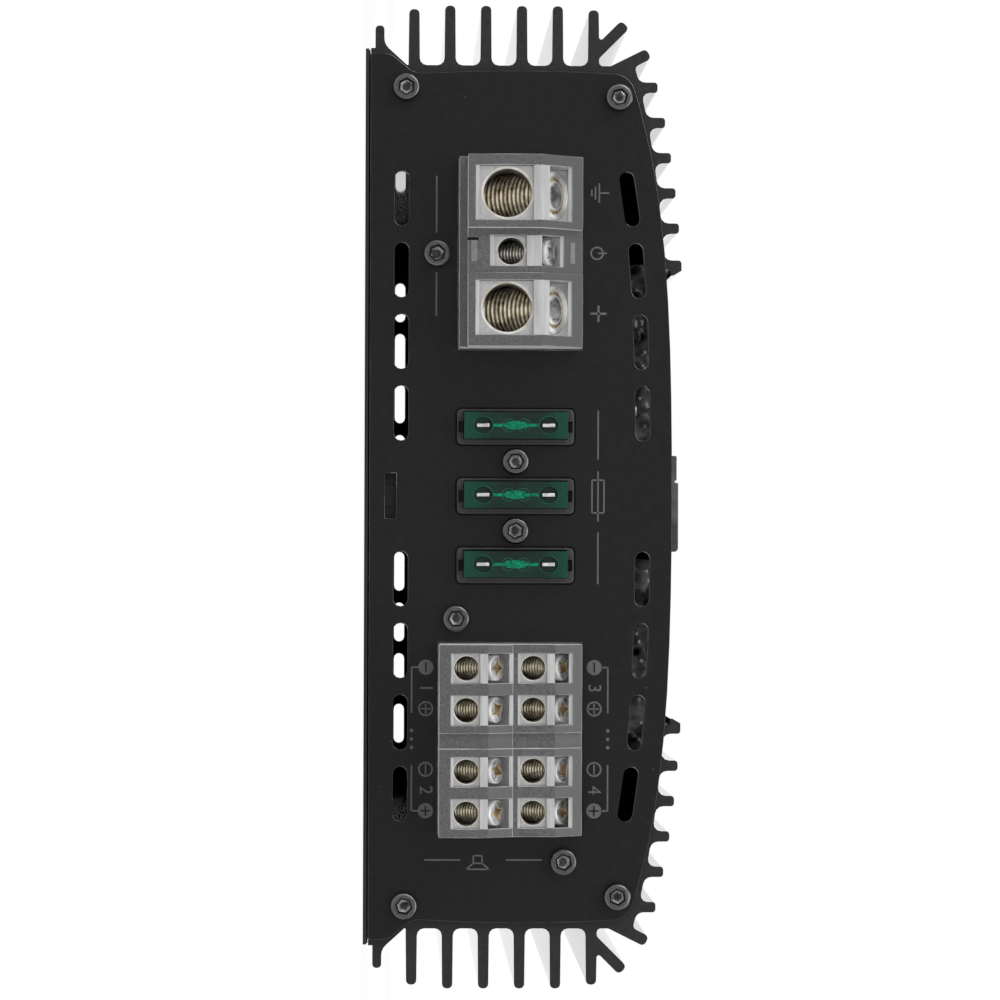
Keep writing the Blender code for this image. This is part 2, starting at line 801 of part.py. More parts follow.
def make_cover_and_badge():
    half = hook_half_span + HOOK_LIP - SEAT_GAP
    low = recess_floor + SEAT_GAP
    high = low + COVER_THICK
    end = half_length - COVER_END_INSET
    piece("top_cover", finished(boxes([((-half, -end, low), (half, end, high))]), "top_cover"), GLOSS_BLACK)
    seat = high + SEAT_GAP
    left = -BADGE_WIDTH / 2
    right = BADGE_WIDTH / 2
    step = left + BADGE_STEP
    outline = rounded(
        [
            (left, seat),
            (right, seat),
            (right, seat + BADGE_HIGH, BADGE_ROUND),
            (step + BADGE_NOTCH, seat + BADGE_HIGH, BADGE_ROUND),
            (step + BADGE_NOTCH, seat + BADGE_LOW - BADGE_NOTCH),
            (step, seat + BADGE_LOW - BADGE_NOTCH),
            (step, seat + BADGE_LOW),
            (left, seat + BADGE_LOW, BADGE_ROUND / 2),
        ]
    )
    data = finished(prisms([outline], 0, BADGE_LENGTH), "badge")
    piece("badge", data, GLOSS_BLACK, (BADGE_SHIFT, -end + BADGE_INSET, 0))


# Screws


def panel_screw_mesh():
    """A socket-head screw along Z: the head's seat at the origin, the shank below it."""
    profile = [
        (0, -SCREW_LENGTH),
        (screw_shank * 0.35, -SCREW_LENGTH),
        (screw_shank / 2, -SCREW_LENGTH + screw_shank * 0.15),
        (screw_shank / 2, 0),
        (screw_head / 2, 0),
        (screw_head / 2, SCREW_HEAD_HEIGHT * 0.8),
        (screw_head * 0.44, SCREW_HEAD_HEIGHT),
        (0, SCREW_HEAD_HEIGHT),
    ]
    pattern = piece("screw_pattern", finished(turned(profile, SMALL_SIDES), "screw_pattern"), SCREW_GREY)
    hexagon = ring((0, 0), screw_hex / math.sqrt(3), 6)
    low = SCREW_HEAD_HEIGHT - SCREW_HEX_DEPTH
    shape(pattern, prisms([hexagon], low, SCREW_HEAD_HEIGHT + CUT_OVER, "Z"))
    return settled(pattern)


def make_panel_screws(fixings):
    """Corner screws on both ends, and the screws that hold the terminals and the fuse holder."""
    pattern = panel_screw_mesh()
    seat = half_length + SEAT_GAP
    outward = (math.radians(90), 0, 0)
    inward = (math.radians(-90), 0, 0)
    places = corner_screw_places()
    names = ("lower_left", "lower_right", "upper_left", "upper_right")
    for name, (x, z) in zip(names, places):
        piece(f"terminal_screw_{name}", pattern.copy(), SCREW_GREY, (x, -seat, z), outward)
        piece(f"input_screw_{name}", pattern.copy(), SCREW_GREY, (x, seat, z), inward)
    for name, (x, z) in fixings.items():
        piece(name, pattern.copy(), SCREW_GREY, (x, -seat, z), outward)


# Wire clamps


class WireClamp:
    """A metal clamp: a wire bore along Y through a block, and a screw that leans in from above.

    The clamp's own origin is on the bore's axis at the block's front face.
    """

    def __init__(self, name, lean, bore, screw, side, floor, roof, margin, depth, stand, cross, tip, travel):
        self.name = name
        self.lean = lean
        self.bore = bore * front_scale
        self.screw = screw * front_scale
        self.width = self.bore + 2 * side * front_scale
        self.low = -(self.bore / 2 + floor * front_scale)
        self.high = self.bore / 2 + roof * front_scale
        self.entry = self.bore / 2 + margin * front_scale
        self.depth = depth * front_scale
        self.stand = stand * front_scale
        self.cross = cross * front_scale
        self.tip = tip * front_scale
        self.travel = travel * front_scale
        self.cell = self.width + 2 * SEAT_GAP

    def screw_head(self):
        """The middle of the screw's outer end, seen from the clamp's origin: (y, z)."""
        return (
            self.cross - self.stand * math.sin(self.lean),
            self.stand * math.cos(self.lean),
        )

    def head_clear_height(self):
        """Height over the bore that the backed-out screw needs."""
        out = self.stand + self.travel
        return out * math.cos(self.lean) + self.screw / 2 * math.sin(self.lean) + SLIDE_GAP

    def screw_back(self):
        """How far behind the block's front face the screw reaches, where it leaves the block's top."""
        axis = self.cross - self.high * math.tan(self.lean)
        return axis + self.screw / 2 / math.cos(self.lean) + SEAT_GAP

    def block_mesh(self):
        half = self.width / 2
        body = boxes([((-half, 0, self.low), (half, self.depth, self.high))])
        pattern = piece(f"{self.name}_pattern", finished(body, self.name), NICKEL)
        sides = ring((0, 0), self.bore / 2, ROUND_SIDES)
        shape(pattern, prisms([sides], -CUT_OVER, self.depth + CUT_OVER))
        radius = self.screw / 2 + SLIDE_GAP
        hole = prisms([ring((0, 0), radius, ROUND_SIDES)], -self.tip - SEAT_GAP, self.depth, "Z")
        bmesh.ops.rotate(hole, cent=(0, 0, 0), matrix=Matrix.Rotation(self.lean, 3, "X"), verts=hole.verts)
        bmesh.ops.translate(hole, vec=(0, self.cross, 0), verts=hole.verts)
        shape(pattern, hole)
        return settled(pattern)

    def screw_mesh(self, hex_socket):
        """The clamp screw along Z, with the middle of its outer end at the origin."""
        radius = self.screw / 2
        length = self.stand + self.tip
        chamfer = radius * 0.12
        profile = [
            (0, -length),
            (radius * 0.7, -length),
            (radius, -length + radius * 0.3),
            (radius, -chamfer),
            (radius - chamfer, 0),
            (0, 0),
        ]
        pattern = piece(f"{self.name}_screw_pattern", finished(turned(profile), self.name), NICKEL)
        depth = radius * 0.8
        if hex_socket:
            shape(pattern, prisms([ring((0, 0), radius * 0.55, 6)], -depth, CUT_OVER, "Z"))
        else:
            arm = radius * 0.66
            half = radius * 0.17
            cross = [
                (arm, -half), (arm, half), (half, half), (half, arm), (-half, arm), (-half, half),
                (-arm, half), (-arm, -half), (-half, -half), (-half, -arm), (half, -arm), (half, -half),
            ]
            shape(pattern, prisms([cross], -depth, CUT_OVER, "Z"))
        return settled(pattern)

    def place(self, name, block, screw, x, y, z):
        """Sets one clamp and its screw in the amplifier, the screw's origin on its own axis."""
        piece(name, block.copy(), NICKEL, (x, y, z))
        head_y, head_z = self.screw_head()
        piece(f"{name}_screw", screw.copy(), NICKEL, (x, y + head_y, z + head_z), (self.lean, 0, 0))


BIG_CLAMP = WireClamp(
    "big_clamp", lean=POWER_LEAN, bore=BIG_CLAMP_BORE, screw=BIG_CLAMP_SCREW, side=BIG_CLAMP_SIDE,
    floor=BIG_CLAMP_FLOOR, roof=BIG_CLAMP_ROOF, margin=BIG_CLAMP_MARGIN, depth=BIG_CLAMP_DEPTH,
    stand=BIG_CLAMP_STAND, cross=BIG_CLAMP_CROSS, tip=BIG_CLAMP_TIP, travel=BIG_CLAMP_TRAVEL,
)
REMOTE_CLAMP = WireClamp(
    "remote_clamp", lean=POWER_LEAN, bore=REMOTE_CLAMP_BORE, screw=REMOTE_CLAMP_SCREW, side=REMOTE_CLAMP_SIDE,
    floor=REMOTE_CLAMP_FLOOR, roof=REMOTE_CLAMP_ROOF, margin=REMOTE_CLAMP_MARGIN, depth=REMOTE_CLAMP_DEPTH,
    stand=REMOTE_CLAMP_STAND, cross=REMOTE_CLAMP_CROSS, tip=REMOTE_CLAMP_TIP, travel=REMOTE_CLAMP_TRAVEL,
)
SPEAKER_CLAMP = WireClamp(
    "speaker_clamp", lean=SPEAKER_LEAN, bore=SPEAKER_CLAMP_BORE, screw=SPEAKER_CLAMP_SCREW,
    side=SPEAKER_CLAMP_SIDE, floor=SPEAKER_CLAMP_FLOOR, roof=SPEAKER_CLAMP_ROOF, margin=SPEAKER_CLAMP_MARGIN,
    depth=SPEAKER_CLAMP_DEPTH, stand=SPEAKER_CLAMP_STAND, cross=SPEAKER_CLAMP_CROSS, tip=SPEAKER_CLAMP_TIP,
    travel=SPEAKER_CLAMP_TRAVEL,
)


# Terminal housings

power_x = -(wall_in - housing_from_wall)
speaker_x = wall_in - housing_from_wall
power_pitch = (BIG_CLAMP.cell + REMOTE_CLAMP.cell) / 2 + power_cell_wall
power_half = power_pitch + BIG_CLAMP.cell / 2 + power_end_wall
speaker_near = (speaker_mid_wall + SPEAKER_CLAMP.cell) / 2
speaker_far = speaker_near + SPEAKER_CLAMP.cell + speaker_cell_wall
speaker_half = speaker_far + SPEAKER_CLAMP.cell / 2 + speaker_end_wall
speaker_ceiling = SPEAKER_CLAMP.head_clear_height()
speaker_row_pitch = speaker_ceiling + speaker_divider + SEAT_GAP - SPEAKER_CLAMP.low
power_fixing = (power_x, POWER_HEIGHT - POWER_FIXING_DROP)


class Well:
    """One well of a terminal housing: where its clamp sits and how its openings are cut."""

    def __init__(self, clamp, x, z, recess, knee, slope, bar, window_top, roof):
        self.clamp = clamp
        self.x = x
        self.z = z
        self.front = front_face + recess
        self.knee = z + knee
        self.slope = slope
        self.window_low = z + clamp.entry + bar
        self.window_top = window_top
        self.roof = roof
        self.clamp_face = self.front + HOUSING_FRONT_WALL + SEAT_GAP

    def clamp_room(self, back):
        half = self.clamp.cell / 2
        low = (self.x - half, self.front + HOUSING_FRONT_WALL, self.z + self.clamp.low - SEAT_GAP)
        return low, (self.x + half, back, self.z + self.clamp.high + SEAT_GAP)

    def wire_opening(self):
        half = self.clamp.width / 2 - HOUSING_LIP
        low = (self.x - half, front_face - CUT_OVER, self.z + self.clamp.low)
        return low, (self.x + half, self.clamp_face + SEAT_GAP, self.z + self.clamp.entry)

    def window(self):
        half = self.clamp.width / 2 - HOUSING_LIP
        low = (self.x - half, front_face - CUT_OVER, self.window_low)
        return low, (self.x + half, self.clamp_face + self.clamp.screw_back(), self.window_top)

    def screw_room(self):
        """The (y, z) outline of the hollow that the leaning screw moves in, behind the sloped front."""
        wall = self.front + HOUSING_FRONT_WALL
        back = self.clamp_face + self.clamp.screw_back()
        slope_wall = HOUSING_FRONT_WALL * (math.hypot(self.slope, 1.0) - 1)
        knee = self.knee - slope_wall / self.slope
        low = min(self.z + self.clamp.high, knee) - SEAT_GAP
        top = wall + self.slope * (self.roof - knee)
        return [
            (wall, low),
            (back, low),
            (back, self.roof),
            (min(top, back - SEAT_GAP), self.roof),
            (wall, knee),
        ]


def add_wells(housing, wells, back):
    """Cuts every well of a housing: clamp rooms, wire openings, screw windows and screw rooms."""
    shape(housing, boxes([well.clamp_room(back + CUT_OVER) for well in wells]))
    shape(housing, boxes([well.wire_opening() for well in wells]))
    shape(housing, boxes([well.window() for well in wells]))
    rooms = bmesh.new()
    for well in wells:
        half = well.clamp.cell / 2
        add_prism(rooms, well.screw_room(), well.x - half, well.x + half, "X")
    shape(housing, rooms)


def housing_flange(outline):
    """The flange that clamps a housing behind the terminal panel."""
    near = -panel_in + SEAT_GAP
    return prisms([outline], near, near + HOUSING_FLANGE)


power_slope = power_slope_back / (power_above - power_knee)
power_top = POWER_HEIGHT + power_above
power_bottom = POWER_HEIGHT - power_below - POWER_SKIRT


def power_wells():
    wells = []
    top = power_top + CUT_OVER
    window_top = power_top - power_strip
    for side in (-1, 1):
        x = power_x + side * power_pitch
        wells.append(
            Well(BIG_CLAMP, x, POWER_HEIGHT, 0.0, power_knee, power_slope, power_bar, window_top, top)
        )
    remote_height = POWER_HEIGHT + remote_rise
    remote_top = remote_height + REMOTE_CLAMP.entry + remote_bar + remote_window
    remote_knee = power_knee - remote_rise
    wells.append(
        Well(
            REMOTE_CLAMP, power_x, remote_height, remote_recess, remote_knee, power_slope, remote_bar,
            remote_top, top,
        )
    )
    return wells


def make_power_terminal():
    wells = power_wells()
    back = wells[0].clamp_face + BIG_CLAMP.depth + HOUSING_BACK
    knee = POWER_HEIGHT + power_knee
    low = POWER_HEIGHT - power_below
    section = [
        (front_face, low),
        (front_face + POWER_SKIRT_BACK, low),
        (front_face + POWER_SKIRT_BACK, power_bottom),
        (back, power_bottom),
        (back, power_top),
        (front_face + power_slope_back, power_top),
        (front_face, knee),
    ]
    body = prisms([section], power_x - power_half, power_x + power_half, "X")
    housing = piece("power_housing", finished(body, "power_housing"), CLEAR_PLASTIC)
    rim = HOUSING_FLANGE_RIM
    ear = hole_radius + BOSS_WALL
    x, z = power_fixing
    left = power_x - power_half - rim
    right = power_x + power_half + rim
    flange = [
        (left, power_bottom - SEAT_GAP), (x - ear, power_bottom - SEAT_GAP), (x - ear, z - ear),
        (x + ear, z - ear), (x + ear, power_bottom - SEAT_GAP), (right, power_bottom - SEAT_GAP),
        (right, power_top + rim), (left, power_top + rim),
    ]
    shape(housing, housing_flange(flange), "UNION")
    recess = remote_recess
    channel = [
        (front_face - CUT_OVER, low - CUT_OVER),
        (front_face + recess, low - CUT_OVER),
        (front_face + recess, knee),
        (front_face + recess + power_slope_back, power_top),
        (front_face + recess + power_slope_back, power_top + CUT_OVER),
        (front_face - CUT_OVER, power_top + CUT_OVER),
    ]
    half = REMOTE_CLAMP.cell / 2 + power_cell_wall / 2
    shape(housing, prisms([channel], power_x - half, power_x + half, "X"))
    add_wells(housing, wells, back)
    shape(housing, prisms([ring(power_fixing, hole_radius)], -half_length, back))
    block = BIG_CLAMP.block_mesh()
    screw = BIG_CLAMP.screw_mesh(hex_socket=True)
    for name, well in zip(("ground_clamp", "supply_clamp"), wells):
        BIG_CLAMP.place(name, block, screw, well.x, well.clamp_face, well.z)
    remote = wells[2]
    block = REMOTE_CLAMP.block_mesh()
    screw = REMOTE_CLAMP.screw_mesh(hex_socket=False)
    REMOTE_CLAMP.place("remote_clamp", block, screw, remote.x, remote.clamp_face, remote.z)


speaker_bottom = SPEAKER_HEIGHT - speaker_below
speaker_upper = SPEAKER_HEIGHT + speaker_row_pitch
speaker_top = speaker_upper + speaker_above
lower_rise = speaker_ceiling - speaker_knee
lower_slope = speaker_step_back / lower_rise
upper_slope = speaker_step_back / (speaker_above - speaker_knee)
speaker_fixings = [
    (speaker_x - speaker_half + SPEAKER_FIXINGS[0][0] * front_scale, speaker_bottom + SPEAKER_FIXINGS[0][1]),
    (speaker_x + speaker_half + SPEAKER_FIXINGS[1][0] * front_scale, speaker_top + SPEAKER_FIXINGS[1][1]),
]


def speaker_front(offset):
    """The stepped (y, z) front of the speaker housing, set back by an offset, from the bottom up."""
    face = front_face + offset
    lower_top = SPEAKER_HEIGHT + speaker_ceiling
    return [
        (face, speaker_bottom),
        (face, SPEAKER_HEIGHT + speaker_knee),
        (face + speaker_step_back, lower_top),
        (face + speaker_step_back, speaker_upper + speaker_knee),
        (face + 2 * speaker_step_back, speaker_top),
    ]


def speaker_wells():
    wells = []
    columns = (-speaker_far, -speaker_near, speaker_near, speaker_far)
    lower_roof = SPEAKER_HEIGHT + speaker_ceiling
    for offset in columns:
        wells.append(
            Well(
                SPEAKER_CLAMP, speaker_x + offset, SPEAKER_HEIGHT, 0.0, speaker_knee, lower_slope,
                speaker_bar, lower_roof, lower_roof,
            )
        )
    for offset in columns:
        wells.append(
            Well(
                SPEAKER_CLAMP, speaker_x + offset, speaker_upper, speaker_step_back, speaker_knee,
                upper_slope, speaker_bar, speaker_top - speaker_strip, speaker_top + CUT_OVER,
            )
        )
    return wells


def make_speaker_terminal():
    wells = speaker_wells()
    back = wells[-1].clamp_face + SPEAKER_CLAMP.depth + HOUSING_BACK
    section = [(back, speaker_top), (back, speaker_bottom)] + speaker_front(0.0)
    body = prisms([section], speaker_x - speaker_half, speaker_x + speaker_half, "X")
    housing = piece("speaker_housing", finished(body, "speaker_housing"), CLEAR_PLASTIC)
    rim = HOUSING_FLANGE_RIM
    ear = hole_radius + BOSS_WALL
    left = min(speaker_x - speaker_half - rim, speaker_fixings[0][0] - ear)
    right = max(speaker_x + speaker_half + rim, speaker_fixings[1][0] + ear)
    flange = rectangle((left, speaker_bottom - SEAT_GAP), (right, speaker_top + rim))
    shape(housing, housing_flange(flange), "UNION")
    depth = SPEAKER_GROOVE_DEPTH
    ahead = front_face - CUT_OVER
    groove = [(ahead, speaker_top + CUT_OVER), (ahead, speaker_bottom - CUT_OVER)]
    front = speaker_front(depth)
    groove += [(front[0][0], front[0][1] - CUT_OVER), *front[1:], (front[-1][0], speaker_top + CUT_OVER)]
    shape(housing, prisms([groove], speaker_x - speaker_groove / 2, speaker_x + speaker_groove / 2, "X"))
    add_wells(housing, wells, back)
    shape(housing, prisms([ring(place, hole_radius) for place in speaker_fixings], -half_length, back))
    block = SPEAKER_CLAMP.block_mesh()
    screw = SPEAKER_CLAMP.screw_mesh(hex_socket=False)
    for number, well in enumerate(wells, start=1):
        SPEAKER_CLAMP.place(f"speaker_clamp_{number}", block, screw, well.x, well.clamp_face, well.z)


def terminal_openings():
    """Openings of the terminal panel: both housings, the fuse sockets and the fixing screws."""
    clear = SEAT_GAP
    openings = [
        rectangle(
            (power_x - power_half - clear, power_bottom - clear),
            (power_x + power_half + clear, power_top + clear),
        ),
        rectangle(
            (speaker_x - speaker_half - clear, speaker_bottom - clear),
            (speaker_x + speaker_half + clear, speaker_top + clear),
        ),
    ]
    half_x = fuse_thick / 2 + SEAT_GAP + holder_wall + clear
    half_z = FUSE_WIDTH / 2 + SEAT_GAP + HOLDER_END_WALL + clear
    for x in fuse_places():
        low = (x - half_x, FUSE_HEIGHT - half_z)
        openings.append(soft_rectangle(low, (x + half_x, FUSE_HEIGHT + half_z), HOLDER_CORNER + clear))
    openings += [ring(place, hole_radius) for place in terminal_fixings().values()]
    return openings


# Fuses


def fuse_places():
    return [index * fuse_pitch for index in (-1, 0, 1)]


def terminal_fixings():
    """Names and (x, z) places of the screws that hold the terminals and the fuse holder."""
    return {
        "power_housing_screw": power_fixing,
        "fuse_holder_screw_left": (-fuse_pitch / 2, FUSE_HEIGHT),
        "fuse_holder_screw_right": (fuse_pitch / 2, FUSE_HEIGHT),
        "speaker_housing_screw_low": speaker_fixings[0],
        "speaker_housing_screw_high": speaker_fixings[1],
    }


fuse_seat = -half_length + FUSE_SEAT_DEPTH
blade_end = fuse_seat + BLADE_LENGTH


def make_fuse_holder():
    near = -panel_in + SEAT_GAP
    half_x = fuse_thick / 2 + SEAT_GAP + holder_wall
    half_z = FUSE_WIDTH / 2 + SEAT_GAP + HOLDER_END_WALL
    reach = fuse_pitch + half_x + HOLDER_RIM
    plate = boxes(
        [
            (
                (-reach, near, FUSE_HEIGHT - half_z - HOLDER_PLATE),
                (reach, near + HOLDER_PLATE, FUSE_HEIGHT + half_z + HOLDER_PLATE),
            )
        ]
    )
    holder = piece("fuse_holder", finished(plate, "fuse_holder"), HOLDER_BLACK)
    front = -half_length - HOLDER_PROUD
    back = blade_end + SEAT_GAP + HOLDER_FLOOR
    sockets = []
    bays = []
    slots = []
    for x in fuse_places():
        low = (x - half_x, FUSE_HEIGHT - half_z)
        sockets.append(soft_rectangle(low, (x + half_x, FUSE_HEIGHT + half_z), HOLDER_CORNER))
        bay_x = fuse_thick / 2 + SEAT_GAP
        bay_z = FUSE_WIDTH / 2 + SEAT_GAP
        low = (x - bay_x, front - CUT_OVER, FUSE_HEIGHT - bay_z)
        bays.append((low, (x + bay_x, fuse_seat + SEAT_GAP, FUSE_HEIGHT + bay_z)))
        for side in (-1, 1):
            z = FUSE_HEIGHT + side * BLADE_SPREAD
            slot_x = BLADE_THICK / 2 + SEAT_GAP
            slot_z = BLADE_WIDTH / 2 + SEAT_GAP
            low = (x - slot_x, fuse_seat, z - slot_z)
            slots.append((low, (x + slot_x, blade_end + SEAT_GAP, z + slot_z)))
    shape(holder, prisms(sockets, front, back), "UNION")
    shape(holder, boxes(bays))
    shape(holder, boxes(slots))
    holes = [ring((side * fuse_pitch / 2, FUSE_HEIGHT), hole_radius) for side in (-1, 1)]
    shape(holder, prisms(holes, -half_length, back))


def make_fuses():
    """Blade fuses: a cap, a slightly narrower body and two blades, the origin at the middle of the seat."""
    body_depth = FUSE_PROUD + FUSE_SEAT_DEPTH
    half_x = fuse_thick / 2
    half_z = FUSE_WIDTH / 2
    waist = half_z - FUSE_CAP_WAIST
    outline = rounded(
        [
            (-body_depth, -half_z, FUSE_CAP_WAIST),
            (-body_depth + FUSE_CAP_DEPTH, -half_z),
            (-body_depth + FUSE_CAP_DEPTH, -waist),
            (0, -waist),
            (0, waist),
            (-body_depth + FUSE_CAP_DEPTH, waist),
            (-body_depth + FUSE_CAP_DEPTH, half_z),
            (-body_depth, half_z, FUSE_CAP_WAIST),
        ]
    )
    data = finished(prisms([outline], -half_x, half_x, "X"), "fuse")
    pattern = piece("fuse_pattern", data, FUSE_GREEN)
    blades = []
    for side in (-1, 1):
        z = side * BLADE_SPREAD
        low = (-BLADE_THICK / 2, -CUT_OVER, z - BLADE_WIDTH / 2)
        blades.append((low, (BLADE_THICK / 2, BLADE_LENGTH, z + BLADE_WIDTH / 2)))
    shape(pattern, boxes(blades), "UNION")
    mesh = settled(pattern)
    for number, x in enumerate(fuse_places(), start=1):
        piece(f"fuse_{number}", mesh.copy(), FUSE_GREEN, (x, fuse_seat, FUSE_HEIGHT))


# Input end

rca_x = wall_in - rca_from_wall
knob_places = [-(wall_in - knob_from_wall) + index * knob_pitch for index in range(KNOB_COUNT)]
switch_places = [knob_places[-1] + switch_gap_to_knob + index * switch_pitch for index in range(2)]
lens_place = (switch_places[0] + switch_pitch / 2, INPUT_HEIGHT - LENS_DROP)


def rca_places():
    half = rca_pitch / 2
    return [(rca_x + side * half, INPUT_HEIGHT + level * half) for level in (-1, 1) for side in (-1, 1)]


def input_openings():
    """Openings of the input panel: jacks, knob shafts, switch slots and the indicator."""
    openings = [ring(place, RCA_SLEEVE / 2 + SEAT_GAP, ROUND_SIDES) for place in rca_places()]
    openings += [ring((x, INPUT_HEIGHT), KNOB_SHAFT / 2 + SLIDE_GAP) for x in knob_places]
    half_x = SWITCH_LEVER / 2 + SWITCH_THROW + SLIDE_GAP
    half_z = SWITCH_HEIGHT / 2 + SLIDE_GAP
    for x in switch_places:
        openings.append(rectangle((x - half_x, INPUT_HEIGHT - half_z), (x + half_x, INPUT_HEIGHT + half_z)))
    openings.append(ring(lens_place, LENS_DIAMETER / 2 + SLIDE_GAP))
    return openings


def make_rca_block():
    half = rca_pitch / 2 + rca_block_margin
    near = panel_in - SEAT_GAP
    low = (rca_x - half, near - RCA_BLOCK_DEPTH, INPUT_HEIGHT - half)
    high = (rca_x + half, near, INPUT_HEIGHT + half)
    block = piece("rca_block", finished(boxes([(low, high)]), "rca_block"), HOLDER_BLACK)
    tip = half_length + RCA_PROUD
    sleeves = [ring(place, RCA_SLEEVE / 2, ROUND_SIDES) for place in rca_places()]
    shape(block, prisms(sleeves, near - RCA_BLOCK_DEPTH / 2, tip), "UNION")
    floor = tip - RCA_SOCKET_DEPTH
    bores = [ring(place, RCA_BORE / 2, ROUND_SIDES) for place in rca_places()]
    shape(block, prisms(bores, floor, tip + CUT_OVER))
    pins = [ring(place, RCA_PIN_HOLE / 2) for place in rca_places()]
    shape(block, prisms(pins, near - RCA_BLOCK_DEPTH / 2, floor + SEAT_GAP))


def make_knobs():
    """Screwdriver-slot knobs; each origin is on its turning axis at the panel's outer face."""
    seat = SEAT_GAP
    back = -PANEL_THICK - KNOB_SHAFT_LENGTH
    profile = [
        (0, back),
        (KNOB_SHAFT / 2, back),
        (KNOB_SHAFT / 2, seat),
        (KNOB_CAP / 2, seat),
        (KNOB_CAP / 2, seat + KNOB_CAP_HEIGHT * 0.85),
        (KNOB_CAP * 0.44, seat + KNOB_CAP_HEIGHT),
        (0, seat + KNOB_CAP_HEIGHT),
    ]
    pattern = piece("knob_pattern", finished(turned(profile), "knob"), HOLDER_BLACK)
    half = KNOB_SLOT / 2
    top = seat + KNOB_CAP_HEIGHT
    slot = boxes([((-KNOB_CAP, -half, top - KNOB_SLOT_DEPTH), (KNOB_CAP, half, top + CUT_OVER))])
    shape(pattern, slot)
    mesh = settled(pattern)
    names = ("front_gain_knob", "rear_gain_knob", "front_filter_knob", "rear_filter_knob")
    for name, x in zip(names, knob_places):
        piece(name, mesh.copy(), HOLDER_BLACK, (x, half_length, INPUT_HEIGHT), (math.radians(-90), 0, 0))


def make_switches():
    """Slide switch levers, each one T shape: a lever through the panel on a runner behind it."""
    near = -PANEL_THICK - SEAT_GAP
    lever = SWITCH_LEVER / 2
    base = SWITCH_BASE / 2
    outline = [
        (-base, near - SWITCH_BASE_THICK), (base, near - SWITCH_BASE_THICK), (base, near), (lever, near),
        (lever, SWITCH_PROUD), (-lever, SWITCH_PROUD), (-lever, near), (-base, near),
    ]
    half = SWITCH_HEIGHT / 2
    for name, x in zip(("front_filter_switch", "rear_filter_switch"), switch_places):
        data = finished(prisms([outline], -half, half, "Z"), name)
        piece(name, data, HOLDER_BLACK, (x, half_length, INPUT_HEIGHT))


def make_lens():
    rim = -PANEL_THICK - SEAT_GAP
    profile = [
        (0, rim - LENS_RIM_THICK),
        (LENS_RIM / 2, rim - LENS_RIM_THICK),
        (LENS_RIM / 2, rim),
        (LENS_DIAMETER / 2, rim),
        (LENS_DIAMETER / 2, LENS_PROUD * 0.4),
        (LENS_DIAMETER * 0.3, LENS_PROUD * 0.85),
        (0, LENS_PROUD),
    ]
    data = finished(turned(profile, SMALL_SIDES), "indicator_lens")
    place = (lens_place[0], half_length, lens_place[1])
    piece("indicator_lens", data, LENS_RED, place, (math.radians(-90), 0, 0))


# Inside

board_front = -half_length + BOARD_FRONT_SETBACK
board_back = half_length - BOARD_BACK_SETBACK
room_floor = board_top + SEAT_GAP


def make_board():
    half = wall_in - SEAT_GAP
    low = (-half, board_front, board_low)
    sheet = boxes([(low, (half, board_back, board_top))])
    piece("circuit_board", finished(sheet, "circuit_board"), BOARD_GREEN)


def make_board_parts():
    """The supply's ring transformer and its reservoir capacitor, standing on the board."""
    x, back_from_edge = TOROID_AT
    height = ceiling_height(x) - HEAD_ROOM - room_floor
    ring_height = height * 0.6
    soft = ring_height * 0.2
    profile = [
        (TOROID_INNER, soft), (TOROID_INNER + soft, 0), (TOROID_OUTER - soft, 0), (TOROID_OUTER, soft),
        (TOROID_OUTER, ring_height - soft), (TOROID_OUTER - soft, ring_height),
        (TOROID_INNER + soft, ring_height), (TOROID_INNER, ring_height - soft),
    ]
    mesh = bmesh.new()
    rounds = []
    for radius, level in profile:
        rounds.append([mesh.verts.new((a, b, level)) for a, b in ring((0, 0), radius, ROUND_SIDES)])
    for lower, upper in zip(rounds, rounds[1:] + rounds[:1]):
        for i in range(ROUND_SIDES):
            j = (i + 1) % ROUND_SIDES
            mesh.faces.new((lower[i], lower[j], upper[j], upper[i]))
    place = (x, board_front + back_from_edge, room_floor)
    piece("power_transformer", finished(mesh, "power_transformer"), COPPER, place)
    x, back_from_edge = CAPACITOR_AT
    height = ceiling_height(x) - HEAD_ROOM - room_floor
    radius = CAPACITOR_RADIUS
    neck = radius * 0.92
    profile = [
        (0, 0), (neck, 0), (radius, radius * 0.1), (radius, radius * 0.35), (neck, radius * 0.45),
        (radius, radius * 0.55), (radius, height - radius * 0.1), (neck, height), (0, height),
    ]
    place = (x, board_front + back_from_edge, room_floor)
    piece("filter_capacitor", finished(turned(profile), "filter_capacitor"), CAN_BLUE, place)


def make_transistor_banks():
    """A clamp bar with its row of power transistors, pressed against each side wall."""
    outer = wall_in - SEAT_GAP
    inner = outer - PACKAGE_THICK
    start = -(BANK_COUNT - 1) * BANK_PITCH / 2
    middle = (board_front + board_back) / 2
    for name, side in (("transistor_bank_left", -1), ("transistor_bank_right", 1)):
        outline = [(side * (inner - BANK_BAR), middle + start - PACKAGE_WIDTH)]
        outline.append((side * inner, middle + start - PACKAGE_WIDTH))
        for index in range(BANK_COUNT):
            y = middle + start + index * BANK_PITCH
            outline.append((side * inner, y - PACKAGE_WIDTH / 2))
            outline.append((side * outer, y - PACKAGE_WIDTH / 2))
            outline.append((side * outer, y + PACKAGE_WIDTH / 2))
            outline.append((side * inner, y + PACKAGE_WIDTH / 2))
        outline.append((side * inner, middle - start + PACKAGE_WIDTH))
        outline.append((side * (inner - BANK_BAR), middle - start + PACKAGE_WIDTH))
        data = finished(prisms([outline], room_floor, room_floor + PACKAGE_HEIGHT, "Z"), name)
        piece(name, data, BARE_ALUMINIUM)


